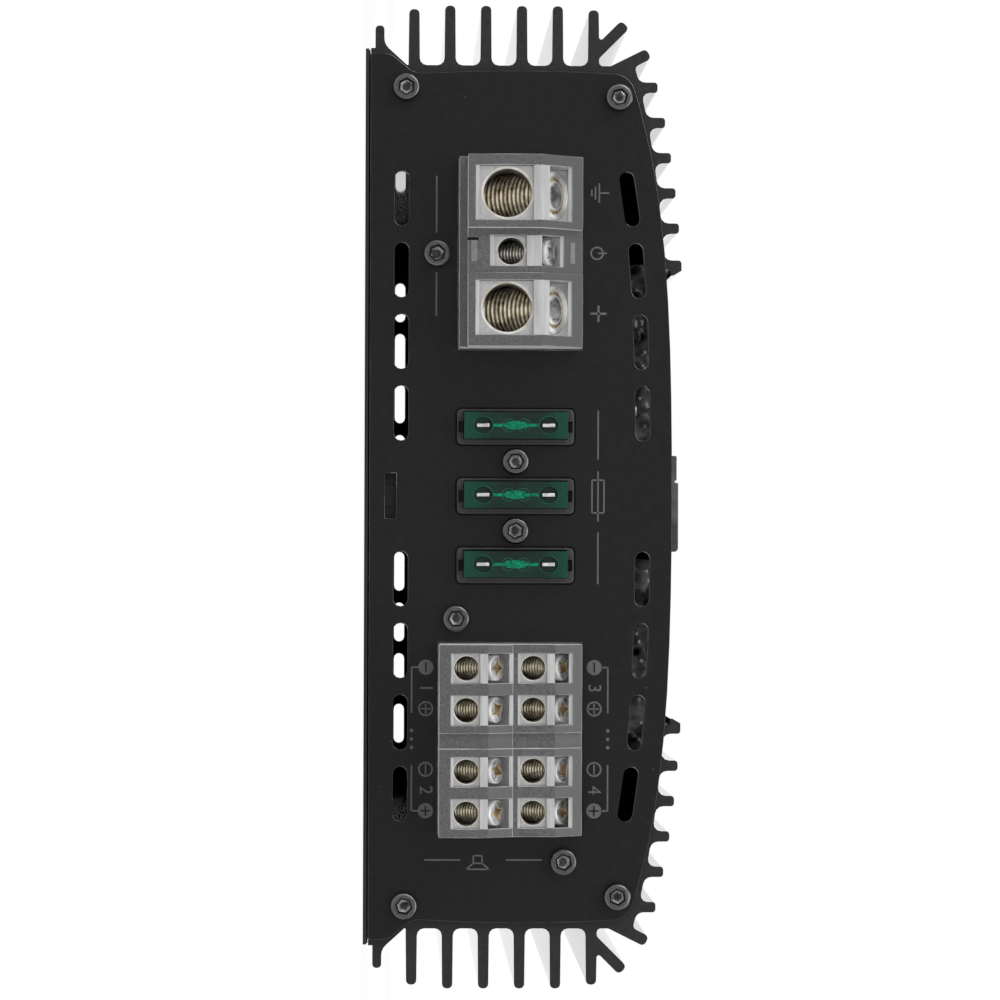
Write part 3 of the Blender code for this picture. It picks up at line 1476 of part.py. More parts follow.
def main():
    for item in list(bpy.data.objects):
        bpy.data.objects.remove(item)
    make_heatsink()
    make_base_plate()
    make_panel("terminal_panel", -1, terminal_openings())
    make_panel("input_panel", 1, input_openings())
    make_cover_and_badge()
    make_panel_screws(terminal_fixings())
    make_power_terminal()
    make_speaker_terminal()
    make_fuse_holder()
    make_fuses()
    make_rca_block()
    make_knobs()
    make_switches()
    make_lens()
    make_board()
    make_board_parts()
    make_transistor_banks()


main()
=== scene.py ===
import json
import math

import bpy
from mathutils import Matrix, Vector


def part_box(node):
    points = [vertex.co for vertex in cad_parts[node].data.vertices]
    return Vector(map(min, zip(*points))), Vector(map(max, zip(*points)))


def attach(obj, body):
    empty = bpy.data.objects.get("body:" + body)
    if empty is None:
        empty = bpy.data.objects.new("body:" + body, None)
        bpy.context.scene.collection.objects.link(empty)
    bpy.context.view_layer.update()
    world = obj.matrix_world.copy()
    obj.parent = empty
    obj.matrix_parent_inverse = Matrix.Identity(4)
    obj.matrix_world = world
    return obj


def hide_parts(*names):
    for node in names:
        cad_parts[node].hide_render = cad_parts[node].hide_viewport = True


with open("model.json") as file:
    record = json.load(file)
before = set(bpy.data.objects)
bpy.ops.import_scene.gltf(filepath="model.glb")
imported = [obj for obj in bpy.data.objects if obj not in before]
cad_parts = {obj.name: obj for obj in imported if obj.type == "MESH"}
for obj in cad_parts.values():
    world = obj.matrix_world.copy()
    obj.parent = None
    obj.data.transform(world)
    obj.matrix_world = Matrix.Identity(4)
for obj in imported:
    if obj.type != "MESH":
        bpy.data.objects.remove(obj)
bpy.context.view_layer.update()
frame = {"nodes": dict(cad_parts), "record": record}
nodes = frame["nodes"]
slotOf = {part["node"]: part["material_slot"] for part in frame["record"]["subparts"]}
bodyOf = {}
for bodyName, members in frame["record"]["behaviour"]["bodies"].items():
    for member in members:
        bodyOf[member] = bodyName


# camera: the terminal end, with the amplifier's top to the right of the picture
shot = {
    "eye": (0.0106, -0.867, 0.0059), "aim": (0.0007, -0.150, 0.0249), "roll": -0.2,
    "lens": 140.7, "sensor": 36, "nearest": 0.01,
}


def placeCamera():
    eye = Vector(shot["eye"])
    ahead = (Vector(shot["aim"]) - eye).normalized()
    right = Vector((0, 0, 1))
    right = (right - ahead * right.dot(ahead)).normalized()
    down = ahead.cross(right)
    turn = math.radians(shot["roll"])
    across = right * math.cos(turn) + down * math.sin(turn)
    up = right * math.sin(turn) - down * math.cos(turn)
    bpy.ops.object.camera_add()
    camera = bpy.context.active_object
    camera.name = "photoCamera"
    camera.data.lens = shot["lens"]
    camera.data.sensor_width = shot["sensor"]
    camera.data.clip_start = shot["nearest"]
    camera.matrix_world = Matrix.Translation(eye) @ Matrix((across, up, -ahead)).transposed().to_4x4()
    bpy.context.scene.camera = camera


# modelling helpers


def pickOnly(*pieces):
    bpy.ops.object.select_all(action="DESELECT")
    for piece in pieces:
        piece.select_set(True)
    bpy.context.view_layer.objects.active = pieces[0]


def added(name, add, **how):  # a new primitive, named and picked
    bpy.ops.object.select_all(action="DESELECT")
    add(**how)
    piece = bpy.context.active_object
    piece.name = name
    return piece


def discard(*pieces):
    for piece in pieces:
        bpy.data.objects.remove(piece)


def settle(piece):  # the place goes into the mesh, the object stays at the origin
    pickOnly(piece)
    bpy.ops.object.transform_apply(location=True, rotation=True, scale=True)
    return piece


def applyAll(piece):
    pickOnly(piece)
    for name in [modifier.name for modifier in piece.modifiers]:
        bpy.ops.object.modifier_apply(modifier=name)


def openMesh(piece):  # edit mode, with all of the mesh picked
    pickOnly(piece)
    bpy.ops.object.mode_set(mode="EDIT")
    bpy.ops.mesh.select_all(action="SELECT")


def openVertices(piece, wanted):  # edit mode, with only these vertices picked
    bpy.context.tool_settings.mesh_select_mode = (True, False, False)
    openMesh(piece)
    bpy.ops.mesh.select_all(action="DESELECT")
    bpy.ops.object.mode_set(mode="OBJECT")
    for vertex, isWanted in zip(piece.data.vertices, wanted):
        vertex.select = isWanted
    bpy.ops.object.mode_set(mode="EDIT")


def closeMesh(outwards=False):
    if outwards:
        bpy.ops.mesh.select_all(action="SELECT")
        bpy.ops.mesh.normals_make_consistent(inside=False)
    bpy.ops.object.mode_set(mode="OBJECT")


def smoothOver(piece, angle=38):
    pickOnly(piece)
    bpy.ops.object.shade_smooth_by_angle(angle=math.radians(angle))


def evenShading(piece, angle=38):  # flat faces stay flat beside rounded edges
    smoothOver(piece, angle)
    weighted = piece.modifiers.new("flatFaces", "WEIGHTED_NORMAL")
    weighted.keep_sharp = True
    applyAll(piece)


def roundEdges(piece, width, segments=2, angle=32):  # a second finish on the piece goes to its edges
    bevel = piece.modifiers.new("softEdges", "BEVEL")
    bevel.width = width
    bevel.material = len(piece.data.materials) - 1
    bevel.segments = segments
    bevel.limit_method = "ANGLE"
    bevel.angle_limit = math.radians(angle)
    bevel.use_clamp_overlap = True
    applyAll(piece)


def softEdges(piece, width, segments=2, angle=32):
    roundEdges(piece, width, segments, angle)
    evenShading(piece)


def cutWith(piece, cutter, operation="DIFFERENCE"):
    change = piece.modifiers.new("cut", "BOOLEAN")
    change.operation = operation
    change.solver = "EXACT"
    change.object = cutter
    pickOnly(piece)
    bpy.ops.object.modifier_apply(modifier=change.name)
    discard(cutter)


def block(name, low, high):
    middle = [(a + b) / 2 for a, b in zip(low, high)]
    piece = added(name, bpy.ops.mesh.primitive_cube_add, size=1, location=middle)
    piece.scale = [b - a for a, b in zip(low, high)]
    return settle(piece)


def rod(name, radius, start, end, sides=48):  # a straight bar between two points
    start, end = Vector(start), Vector(end)
    along = end - start
    add = bpy.ops.mesh.primitive_cylinder_add
    piece = added(name, add, vertices=sides, radius=radius, depth=along.length)
    piece.rotation_euler = along.to_track_quat("Z", "Y").to_euler()
    piece.location = (start + end) / 2
    return settle(piece)


def disc(name, radius, height, sides):
    add = bpy.ops.mesh.primitive_circle_add
    return settle(added(name, add, vertices=sides, radius=radius, fill_type="NGON", location=(0, 0, height)))


def turnedPiece(name, rings, sides=48):  # a disc drawn upwards ring by ring, as on a lathe
    piece = disc(name, *rings[0], sides)
    openMesh(piece)
    for (lastRadius, lastHeight), (radius, height) in zip(rings, rings[1:]):
        bpy.ops.mesh.extrude_region_move(TRANSFORM_OT_translate={"value": (0, 0, height - lastHeight)})
        share = radius / lastRadius
        bpy.ops.transform.resize(value=(share, share, 1), center_override=(0, 0, height))
    closeMesh(outwards=True)
    return piece


def copyTo(master, name, place, turn=(0, 0, 0)):
    pickOnly(master)
    bpy.ops.object.duplicate()
    piece = bpy.context.active_object
    piece.name = name
    piece.rotation_euler = turn
    piece.location = place
    return settle(piece)


def joined(name, pieces):
    pickOnly(*pieces)
    if len(pieces) > 1:
        bpy.ops.object.join()
    piece = bpy.context.active_object
    piece.name = name
    piece.data.name = name
    return piece


def paint(piece, *used):
    piece.data.materials.clear()
    for finish in used:
        piece.data.materials.append(finishes[finish])


def mount(piece, body, slot, *replaced):
    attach(piece, body)
    if replaced:
        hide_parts(*replaced)


def middleOf(node):
    low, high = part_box(node)
    return (low + high) / 2


def cleanCopy(node, name):  # the CAD shape again, without its triangles
    pickOnly(nodes[node])
    bpy.ops.object.duplicate()
    piece = bpy.context.active_object
    for key in list(piece.keys()):
        del piece[key]
    piece.parent = None
    piece.name = name
    openMesh(piece)
    bpy.ops.mesh.remove_doubles(threshold=0.000002)
    bpy.ops.mesh.dissolve_limited(angle_limit=math.radians(0.6))
    closeMesh()
    bpy.ops.mesh.customdata_custom_splitnormals_clear()
    return piece


def dressNode(node, width, used, segments=2, angle=32):  # the CAD shape again, with softened edges
    piece = cleanCopy(node, node + "_dressed")
    paint(piece, *used)
    softEdges(piece, width, segments, angle)
    mount(piece, bodyOf[node], slotOf[node], node)
    return piece


# shader nodes


def feed(tree, socket, value):  # a link from another node, or a constant
    if hasattr(value, "is_output"):
        tree.links.new(value, socket)
    else:
        socket.default_value = value


def addNode(tree, kind, *values, operation=None):  # the values go to the node's first sockets
    node = tree.nodes.new("ShaderNode" + kind)
    if operation:
        node.operation = operation
    for socket, value in zip(node.inputs, values):
        feed(tree, socket, value)
    return node


def maths(tree, operation, *values):
    return addNode(tree, "Math", *values, operation=operation).outputs[0]


def placeOn(tree):
    return addNode(tree, "TexCoord").outputs["Object"]


def normalOn(tree):
    return addNode(tree, "NewGeometry").outputs["Normal"]


def grey(level, blue=None):
    return (level, level, blue or level)


def mixColours(tree, share, first, second):
    mix = tree.nodes.new("ShaderNodeMix")
    mix.data_type = "RGBA"
    for socket, value in ((mix.inputs[0], share), (mix.inputs[6], first), (mix.inputs[7], second)):
        feed(tree, socket, (*value, 1) if isinstance(value, tuple) else value)
    return mix.outputs[2]


def mapped(tree, value, low, high, fromLow=0.0, fromHigh=1.0):
    return addNode(tree, "MapRange", value, fromLow, fromHigh, low, high).outputs["Result"]


def newGroup(name, inputs, output):
    group = bpy.data.node_groups.new(name, "ShaderNodeTree")
    for label, kind, value in inputs:
        socket = group.interface.new_socket(label, in_out="INPUT", socket_type="NodeSocket" + kind)
        socket.default_value = value
    group.interface.new_socket(output, in_out="OUTPUT", socket_type="NodeSocketFloat")
    start = group.nodes.new("NodeGroupInput")
    end = group.nodes.new("NodeGroupOutput")
    return group, start.outputs, end.inputs[output]


def makeGrainGroup():  # soft noise, drawn out along one direction by Stretch
    inputs = [("Scale", "Float", 400.0), ("Stretch", "Vector", (1, 1, 1)), ("Detail", "Float", 3.0)]
    group, given, result = newGroup("fineGrain", inputs, "Grain")
    place = addNode(group, "VectorMath", placeOn(group), given["Stretch"], operation="MULTIPLY")
    noise = addNode(group, "TexNoise", place.outputs["Vector"])
    for label in ("Scale", "Detail"):
        feed(group, noise.inputs[label], given[label])
    feed(group, result, noise.outputs["Fac"])
    return group


def makeFleckGroup():  # sparse small specks of dust
    inputs = [("Scale", "Float", 500.0), ("Amount", "Float", 0.1), ("Size", "Float", 0.09)]
    group, given, result = newGroup("dustFlecks", inputs, "Mask")
    cells = addNode(group, "TexVoronoi", placeOn(group))
    feed(group, cells.inputs["Scale"], given["Scale"])
    near = maths(group, "LESS_THAN", cells.outputs["Distance"], given["Size"])
    chance = addNode(group, "SeparateColor", cells.outputs["Color"]).outputs["Red"]
    few = maths(group, "LESS_THAN", chance, given["Amount"])
    feed(group, result, maths(group, "MULTIPLY", near, few))
    return group


def grouped(tree, group, **values):
    node = addNode(tree, "Group")
    node.node_tree = group
    for label, value in values.items():
        node.inputs[label].default_value = value
    return node.outputs[0]


grainGroup = makeGrainGroup()
fleckGroup = makeFleckGroup()
finishes = {}
# where the painted light on a clear moulding changes: by its normal along Y, and over this depth down a well
paintedLightTurns = {"front": (-0.97, -0.93), "walls": (-0.45, -0.35), "wellStep": 0.0002}
grainSpread = (0.3, 0.7)


def makeFinish(
    name, dark, light, rough, metallic=0.0, specular=0.5, scale=400.0, stretch=(1, 1, 1), bump=0.0, dust=0.0,
    dustColour=None, dustScale=None, coat=0.0, coatIor=1.5, transmission=0.0, paintedLeanLight=None, walls=None,
    deep=None, ends=None, paintedGlint=None,
):
    material = bpy.data.materials.new(name)
    material.use_nodes = True
    tree = material.node_tree
    shader = tree.nodes["Principled BSDF"]
    grain = grouped(tree, grainGroup, Scale=scale, Stretch=stretch)
    colour = mixColours(tree, mapped(tree, grain, 0, 1, *grainSpread), dark, light)
    if paintedLeanLight:  # painted light on a clear moulding: lighter where it leans back, and lightest down its wells
        slant = addNode(tree, "SeparateXYZ", normalOn(tree)).outputs["Y"]
        front = paintedLightTurns["front"]
        if deep:  # painted light on walls that face the front far down a well
            depth, paintedWellLight = deep
            place = addNode(tree, "SeparateXYZ", placeOn(tree)).outputs["Y"]
            inPaintedWell = mapped(tree, place, 0, 1, depth, depth + paintedLightTurns["wellStep"])
            both = maths(tree, "MULTIPLY", inPaintedWell, mapped(tree, slant, 1, 0, *front))
            colour = mixColours(tree, both, colour, paintedWellLight)
        colour = mixColours(tree, mapped(tree, slant, 0, 1, *front), colour, paintedLeanLight)
        colour = mixColours(tree, mapped(tree, slant, 0, 1, *paintedLightTurns["walls"]), colour, walls)
    if ends:  # another colour towards both ends of a piece, by its height
        middle, near, far, endColour = ends
        place = addNode(tree, "SeparateXYZ", placeOn(tree)).outputs["Z"]
        reach = maths(tree, "ABSOLUTE", maths(tree, "SUBTRACT", place, middle))
        colour = mixColours(tree, mapped(tree, reach, 0, 1, near, far), colour, endColour)
    if paintedGlint:  # a painted highlight on what faces one direction
        towards, (near, full), paintedGlintColour = paintedGlint
        aim = Vector(towards).normalized()
        facing = addNode(tree, "VectorMath", normalOn(tree), aim, operation="DOT_PRODUCT").outputs["Value"]
        colour = mixColours(tree, mapped(tree, facing, 0, 1, near, full), colour, paintedGlintColour)
    if dust:
        colour = mixColours(tree, grouped(tree, fleckGroup, Scale=dustScale, Amount=dust), colour, dustColour)
    if bump:
        height = addNode(tree, "Bump")
        feed(tree, height.inputs["Strength"], bump)
        feed(tree, height.inputs["Distance"], 0.0001)
        feed(tree, height.inputs["Height"], grain)
        feed(tree, shader.inputs["Normal"], height.outputs["Normal"])
    sockets = {
        "Base Color": colour, "Roughness": mapped(tree, grain, *rough, *grainSpread), "Metallic": metallic,
        "Specular IOR Level": specular, "Coat Weight": coat, "Coat IOR": coatIor,
        "Transmission Weight": transmission, "IOR": 1.45,
    }
    for label, value in sockets.items():
        feed(tree, shader.inputs[label], value)
    finishes[name] = material


# the finishes, one call each: dark and light colour, roughness range, then what differs from plain
makeFinish(
    "extrusionBlack", grey(0.010, 0.0105), grey(0.017, 0.0175), (0.30, 0.42), specular=0.22, scale=900,
    stretch=(1, 0.015, 1), bump=0.03, coat=1.0, coatIor=1.15,
)
makeFinish(
    "extrusionEnd", grey(0.012, 0.0121), grey(0.019, 0.0191), (0.35, 0.5), specular=0.25, scale=1200,
    bump=0.15,
)
makeFinish("extrusionInner", grey(0.011, 0.0112), grey(0.018, 0.0182), (0.30, 0.34), scale=60, coat=1.0)
makeFinish("sheetBlack", grey(0.009), grey(0.014), (0.45, 0.6), specular=0.3, scale=1500, bump=0.2)
makeFinish(
    "panelBlack", grey(0.0055, 0.0058), grey(0.008, 0.0083), (0.28, 0.36), specular=0.2, scale=700, bump=0.04,
    dust=0.03, dustColour=grey(0.05), dustScale=600,
)
# a painted highlight for the edge beads: lighter than the panel, and lightest where an edge faces one way
makeFinish(
    "panelPaintedHighlight", grey(0.014, 0.0142), grey(0.05, 0.0505), (0.2, 0.3), specular=0.3, scale=300,
    paintedGlint=((-0.62, -0.45, 0.64), (0.80, 0.97), grey(0.55, 0.555)),
)
makeFinish(
    "badgeGrey", grey(0.022, 0.0225), grey(0.11, 0.112), (0.28, 0.42), metallic=0.3, scale=240,
    stretch=(1, 1, 0.5), bump=0.1,
)
makeFinish(
    "filmGrey", grey(0.005, 0.0052), grey(0.42, 0.423), (0.15, 0.25), metallic=0.4, scale=300, bump=0.3,
)
makeFinish("badgeBlack", grey(0.007), grey(0.010), (0.14, 0.22), specular=0.4, scale=300, bump=0.03)
makeFinish(
    "screwGrey", grey(0.070, 0.073), grey(0.095, 0.098), (0.30, 0.42), metallic=1.0, scale=1800, bump=0.15,
)
# painted shade inside the screw sockets, a painted highlight on a head's rim, and painted glints in the pit
makeFinish("socketPaintedShade", grey(0.003), grey(0.006), (0.2, 0.3), specular=0.1, scale=900)
makeFinish("screwRimPaintedHighlight", grey(0.075, 0.077), grey(0.15, 0.152), (0.2, 0.3), metallic=1.0, scale=300, bump=0.1)
makeFinish(
    "socketFloorPaintedShade", (0.004, 0.005, 0.0045), (0.05, 0.055, 0.052), (0.2, 0.35), metallic=0.5, scale=700,
    bump=0.3,
)
makeFinish("socketGlint", grey(0.004), grey(0.95), (0.15, 0.25), metallic=0.5, scale=760, bump=0.2)
makeFinish("clampNickel", grey(0.35), grey(0.44), (0.34, 0.46), metallic=1.0, scale=1600, bump=0.15)
makeFinish(
    "headNickel", (0.16, 0.158, 0.155), (0.96, 0.955, 0.945), (0.12, 0.22), metallic=0.3, scale=560, bump=0.1,
)
makeFinish(
    "goldThread", (0.42, 0.31, 0.16), (1.0, 0.94, 0.76), (0.14, 0.26), metallic=0.6, scale=800, bump=0.3,
)
makeFinish(
    "steelThread", (0.26, 0.25, 0.24), (0.74, 0.72, 0.69), (0.16, 0.28), metallic=0.8, scale=700, bump=0.1,
)
# painted shade in the thread grooves
makeFinish(
    "threadPaintedShade", (0.015, 0.012, 0.008), (0.26, 0.20, 0.12), (0.25, 0.4), metallic=0.5, scale=800, bump=0.2,
)
makeFinish(
    "socketGold", (0.36, 0.25, 0.12), (0.86, 0.72, 0.48), (0.2, 0.3), metallic=0.4, scale=900, bump=0.1,
)
# a painted highlight on the clamp screw heads' rims
makeFinish(
    "headPaintedHighlight", (0.62, 0.618, 0.61), (1.0, 0.998, 0.99), (0.15, 0.25), specular=0.8, scale=300, bump=0.05,
)
# a painted highlight on the chamfer round a clamp's bore
makeFinish(
    "boreRimPaintedHighlight", (0.55, 0.50, 0.40), (0.92, 0.91, 0.88), (0.12, 0.24), metallic=0.3, scale=350, bump=0.05,
)
# the clear moulding takes painted light on its leaning faces, on its walls and far down its wells
makeFinish(
    "clearPlastic", grey(0.056, 0.057), grey(0.118, 0.119), (0.34, 0.55), scale=2200, bump=0.3,
    transmission=0.15, paintedLeanLight=grey(0.070, 0.071), walls=grey(0.95, 0.955), deep=(-0.1536, grey(1.0)),
    dust=0.08, dustColour=grey(0.4), dustScale=1200,
)
# a painted highlight on the housings' bevelled edges
makeFinish("plasticPaintedHighlight", grey(0.09, 0.091), grey(0.36, 0.363), (0.2, 0.35), scale=180, bump=0.1)
makeFinish("tabPlastic", grey(0.12, 0.121), grey(0.18, 0.182), (0.3, 0.45), scale=900, bump=0.1)
# painted light for the housings' bars, lips and sills, where the clear moulding catches the light
makeFinish(
    "plasticPaintedLight", grey(0.32, 0.323), grey(0.46, 0.463), (0.30, 0.45), scale=900, stretch=(0.12, 1, 1),
    bump=0.1,
)
makeFinish(
    "holderBlack", grey(0.022), grey(0.042), (0.42, 0.58), specular=0.4, scale=1900, bump=0.3, dust=0.08,
    dustColour=grey(0.12), dustScale=1500,
)
makeFinish(
    "fuseGreen", (0.006, 0.014, 0.0115), (0.003, 0.034, 0.023), (0.14, 0.24), specular=0.12, scale=170,
    bump=0.05, transmission=0.3, ends=(0.0277, 0.0045, 0.0090, (0.002, 0.062, 0.039)),
)
makeFinish(
    "fuseBright", (0.001, 0.028, 0.018), (0.002, 0.28, 0.145), (0.3, 0.45), specular=0.15, scale=2400,
    bump=0.2,
)
makeFinish("fuseLine", (0.003, 0.045, 0.030), (0.008, 0.10, 0.065), (0.3, 0.4), specular=0.15, scale=900)
makeFinish("jackBlack", grey(0.014), grey(0.024), (0.35, 0.5), specular=0.4, scale=1500, bump=0.2)
makeFinish(
    "jackGold", (0.50, 0.36, 0.14), (0.66, 0.50, 0.22), (0.20, 0.34), metallic=1.0, scale=1200, bump=0.1,
)
makeFinish("jackRed", (0.35, 0.012, 0.012), (0.46, 0.02, 0.018), (0.3, 0.45), scale=900, bump=0.1)
makeFinish("jackWhite", grey(0.58, 0.56), grey(0.70, 0.68), (0.3, 0.45), scale=900, bump=0.1)
makeFinish("knobBlack", grey(0.016), grey(0.028), (0.38, 0.55), specular=0.4, scale=1800, bump=0.25)
makeFinish(
    "lensRed", (0.42, 0.012, 0.010), (0.55, 0.025, 0.02), (0.08, 0.16), scale=300, coat=0.4, transmission=0.3,
)
makeFinish(
    "boardGreen", (0.012, 0.075, 0.03), (0.025, 0.13, 0.055), (0.32, 0.5), scale=260, bump=0.1, dust=0.3,
    dustColour=grey(0.42, 0.38), dustScale=240,
)
makeFinish(
    "windingCopper", (0.30, 0.11, 0.04), (0.58, 0.26, 0.11), (0.25, 0.42), metallic=0.8, scale=700,
    stretch=(1, 1, 0.08), bump=0.6,
)
makeFinish(
    "canSleeve", (0.018, 0.022, 0.055), (0.03, 0.036, 0.085), (0.22, 0.34), scale=500, bump=0.05, coat=0.2,
)
makeFinish(
    "bankAluminium", grey(0.46, 0.47), grey(0.60, 0.61), (0.3, 0.46), metallic=1.0, scale=900,
    stretch=(1, 0.05, 1), bump=0.2,
)
makeFinish("printGrey", grey(0.085, 0.086), grey(0.115, 0.116), (0.5, 0.65), specular=0.25, scale=2200)
makeFinish("bladeSilver", grey(0.42, 0.41), grey(0.72, 0.70), (0.22, 0.38), metallic=1.0, scale=900, bump=0.1)
print("finishes:", len(finishes))

placeCamera()


# body: extrusion, base plate, panels, cover and badge keep their CAD form with softened edges
bodyEdges = {
    "heatsink": (0.00012, "extrusionEnd", "extrusionBlack", "extrusionInner"),
    "base_plate": (0.00015, "sheetBlack"),
    "terminal_panel": (0.00005, "panelBlack"),
    "input_panel": (0.00005, "panelBlack"),
    "top_cover": (0.00015, "badgeBlack"),
    "badge": (0.00025, "badgeGrey"),
}
innerFaces = {"side": 0.0765, "under": 0.030, "slant": 0.7, "end": 0.9}  # the extrusion's inside and its ends
# the bead in a painted highlight: its thickness, and where it runs on the panel's face
panelHighlightLine = {
    "thick": 0.00007, "upper": 0.0480, "lower": 0.0112, "side": 0.0755, "screw": 0.0030, "screwDepth": 0.02,
    "onFace": 0.00002, "corner": 0.5,
}


def panelHighlightBead(node):  # a thin bead in a painted highlight round the panel and its slots, on the outer face
    size = panelHighlightLine
    low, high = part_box(node)
    face = low.y if low.y < 0 else high.y
    bead = cleanCopy(node, node + "_line")
    corner = [vertex.co.copy() for vertex in bead.data.vertices]
    beside = {}
    for polygon in bead.data.polygons:
        for key in polygon.edge_keys:
            beside.setdefault(key, []).append(abs(polygon.normal.y))
    heads = [name for name in nodes if "_screw_" in name]
    screws = [middleOf(name) for name in heads if abs(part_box(name)[0].y - face) < size["screwDepth"]]
    kept = set()
    for key, slants in beside.items():
        middle = (corner[key[0]] + corner[key[1]]) / 2
        edge = abs(middle.y - face) < size["onFace"] and min(slants) < size["corner"] < max(slants)
        outline = middle.z > size["upper"] or middle.z < size["lower"] or abs(middle.x) > size["side"]
        clear = all(math.hypot(middle.x - at.x, middle.z - at.z) > size["screw"] for at in screws)
        if edge and outline and clear:
            kept.add(key)
    bpy.context.tool_settings.mesh_select_mode = (False, True, False)
    openMesh(bead)
    bpy.ops.mesh.delete(type="ONLY_FACE")
    bpy.ops.mesh.select_all(action="DESELECT")
    closeMesh()
    for edge in bead.data.edges:
        edge.select = edge.key not in kept
    bpy.ops.object.mode_set(mode="EDIT")
    bpy.ops.mesh.delete(type="EDGE")
    closeMesh()
    bpy.ops.object.convert(target="CURVE")
    bead = bpy.context.active_object
    bead.data.bevel_depth = size["thick"]
    bead.data.bevel_resolution = 1
    bead.data.use_fill_caps = True
    bpy.ops.object.convert(target="MESH")
    bead = bpy.context.active_object
    smoothOver(bead, 80)
    paint(bead, "panelPaintedHighlight")
    mount(bead, bodyOf[node], slotOf[node])


def paintExtrusion(piece):  # the sawn ends are dull, and the inside has a finish of its own
    size = innerFaces
    for face in piece.data.polygons:
        centre, normal = face.center, face.normal
        within = abs(centre.x) < size["side"]
        inwards = normal.x * centre.x < -abs(centre.x) * size["slant"]
        under = normal.z < -size["slant"] and centre.z > size["under"]
        isInner = within and (inwards or under)
        face.material_index = 0 if abs(normal.y) > size["end"] else 2 if isInner else 1


def dressBody():
    for node in ("terminal_panel", "input_panel"):
        panelHighlightBead(node)
    for node, (width, *used) in bodyEdges.items():
        piece = dressNode(node, width, used)
        if node == "heatsink":
            paintExtrusion(piece)
    print("body dressed")


# round the panel: a strip that closes the seam over the base plate, the sheet behind the latch opening,
# and a crumpled film behind the upper slots
behind = {
    "latch": ((-0.0048, -0.1480, 0.0012), (0.0048, -0.1476, 0.0066)), "latchEdge": 0.0001,
    "films": {"left": -0.0255, "right": 0.0290}, "film": (-0.1455, 0.0515), "filmSize": (0.035, 0.0070),
    "filmDepth": 0.0040, "filmThick": 0.00012, "filmGrid": (70, 16), "fold": 0.0035,
    "seal": (0.0810, 0.1492), "sealHalf": 0.001, "sealLow": 0.0006, "sealTop": 0.00085,
}


def makeFilm(name, x, folds):
    columns, rows = behind["filmGrid"]
    film = added(
        name, bpy.ops.mesh.primitive_grid_add, x_subdivisions=columns, y_subdivisions=rows, size=1,
        location=(x, *behind["film"]), rotation=(math.radians(90), 0, 0),
    )
    film.scale = (*behind["filmSize"], 1)
    settle(film)
    crumple = film.modifiers.new("crumple", "DISPLACE")
    crumple.texture = folds
    crumple.texture_coords = "GLOBAL"
    crumple.strength = behind["filmDepth"]
    crumple.mid_level = 0.5
    thick = film.modifiers.new("thick", "SOLIDIFY")
    thick.thickness = behind["filmThick"]
    applyAll(film)
    smoothOver(film, 25)
    paint(film, "filmGrey")
    mount(film, "chassis", slotOf["heatsink"])


def fitBehindPanel():
    reach, end = behind["seal"]
    half, low, high = behind["sealHalf"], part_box("base_plate")[0].z + behind["sealLow"], behind["sealTop"]
    strips = [
        block("seal", (side * reach - half, -end, low), (side * reach + half, end, high)) for side in (-1, 1)
    ]
    seal = joined("base_seal", strips)
    latch = block("latch_backing", *behind["latch"])
    softEdges(latch, behind["latchEdge"])
    for piece in (seal, latch):
        paint(piece, "sheetBlack")
        mount(piece, "chassis", slotOf["base_plate"])
    folds = bpy.data.textures.new("folds", "VORONOI")
    folds.noise_scale = behind["fold"]
    for side, x in behind["films"].items():
        makeFilm("insulating_film_" + side, x, folds)
    print("behind the panel")


# panel screws: a button head with a hexagon socket
panelScrew = {
    "shank": 0.00149, "length": 0.008, "head": 0.00243, "height": 0.0020, "edge": 0.00045, "hex": 0.00148,
    "depth": 0.0014, "thread": 0.0005, "threadCut": 0.0002, "threadEnd": -0.0012, "point": (0.7, 0.0005),
    "mouth": (0.00164, 0.00006), "funnel": (0.00128, 0.0007), "pit": 0.00074, "over": 0.001,
    "stops": (23, 60),
}
housingScrews = (
    "power_housing_screw", "fuse_holder_screw_left", "fuse_holder_screw_right", "speaker_housing_screw_low",
    "speaker_housing_screw_high",
)


def makePanelScrew():
    size = panelScrew
    shank, head, top, edge = size["shank"], size["head"], size["height"], size["edge"]
    share, taper = size["point"]
    rings = [(shank * share, -size["length"]), (shank, -size["length"] + taper)]
    height = rings[-1][1]
    while height < size["threadEnd"]:
        rings += [(shank - size["threadCut"], height + size["thread"] / 2), (shank, height + size["thread"])]
        height += size["thread"]
    rings += [(shank, 0), (head, 0), (head, top - edge)]
    for step in range(1, 5):
        angle = math.radians(90 * step / 4)
        rings.append((head - edge * (1 - math.cos(angle)), top - edge * (1 - math.sin(angle))))
    master = turnedPiece("panelScrewMaster", rings, 40)
    mouth, sink = size["mouth"]
    funnel, drop = size["funnel"]
    for radius, deep in ((mouth, sink), (size["hex"], drop)):
        cutWith(master, rod("hexCutter", radius, (0, 0, top - deep), (0, 0, top + size["over"]), 6))
    pit = [(size["pit"], top - size["depth"]), (funnel, top - drop + 0.00002)]
    cutWith(master, turnedPiece("pitCutter", pit, 6))
    smoothOver(master, 35)
    paint(master, "screwGrey", "socketPaintedShade", "screwRimPaintedHighlight", "socketFloorPaintedShade", "socketGlint")
    # socket walls and floor take painted shade, the pit's walls painted glints, and the rim a painted
    # highlight
    for face in master.data.polygons:
        across, z = math.hypot(face.center.x, face.center.y), face.center.z
        if across < mouth and -0.001 < z < top - sink * 0.4:
            inPit = z < top - drop - 0.00005
            face.material_index = 1 if not inPit else 3 if face.normal.z > 0.9 else 4
        elif across > head - edge and z > top - edge:
            face.material_index = 2
    return master


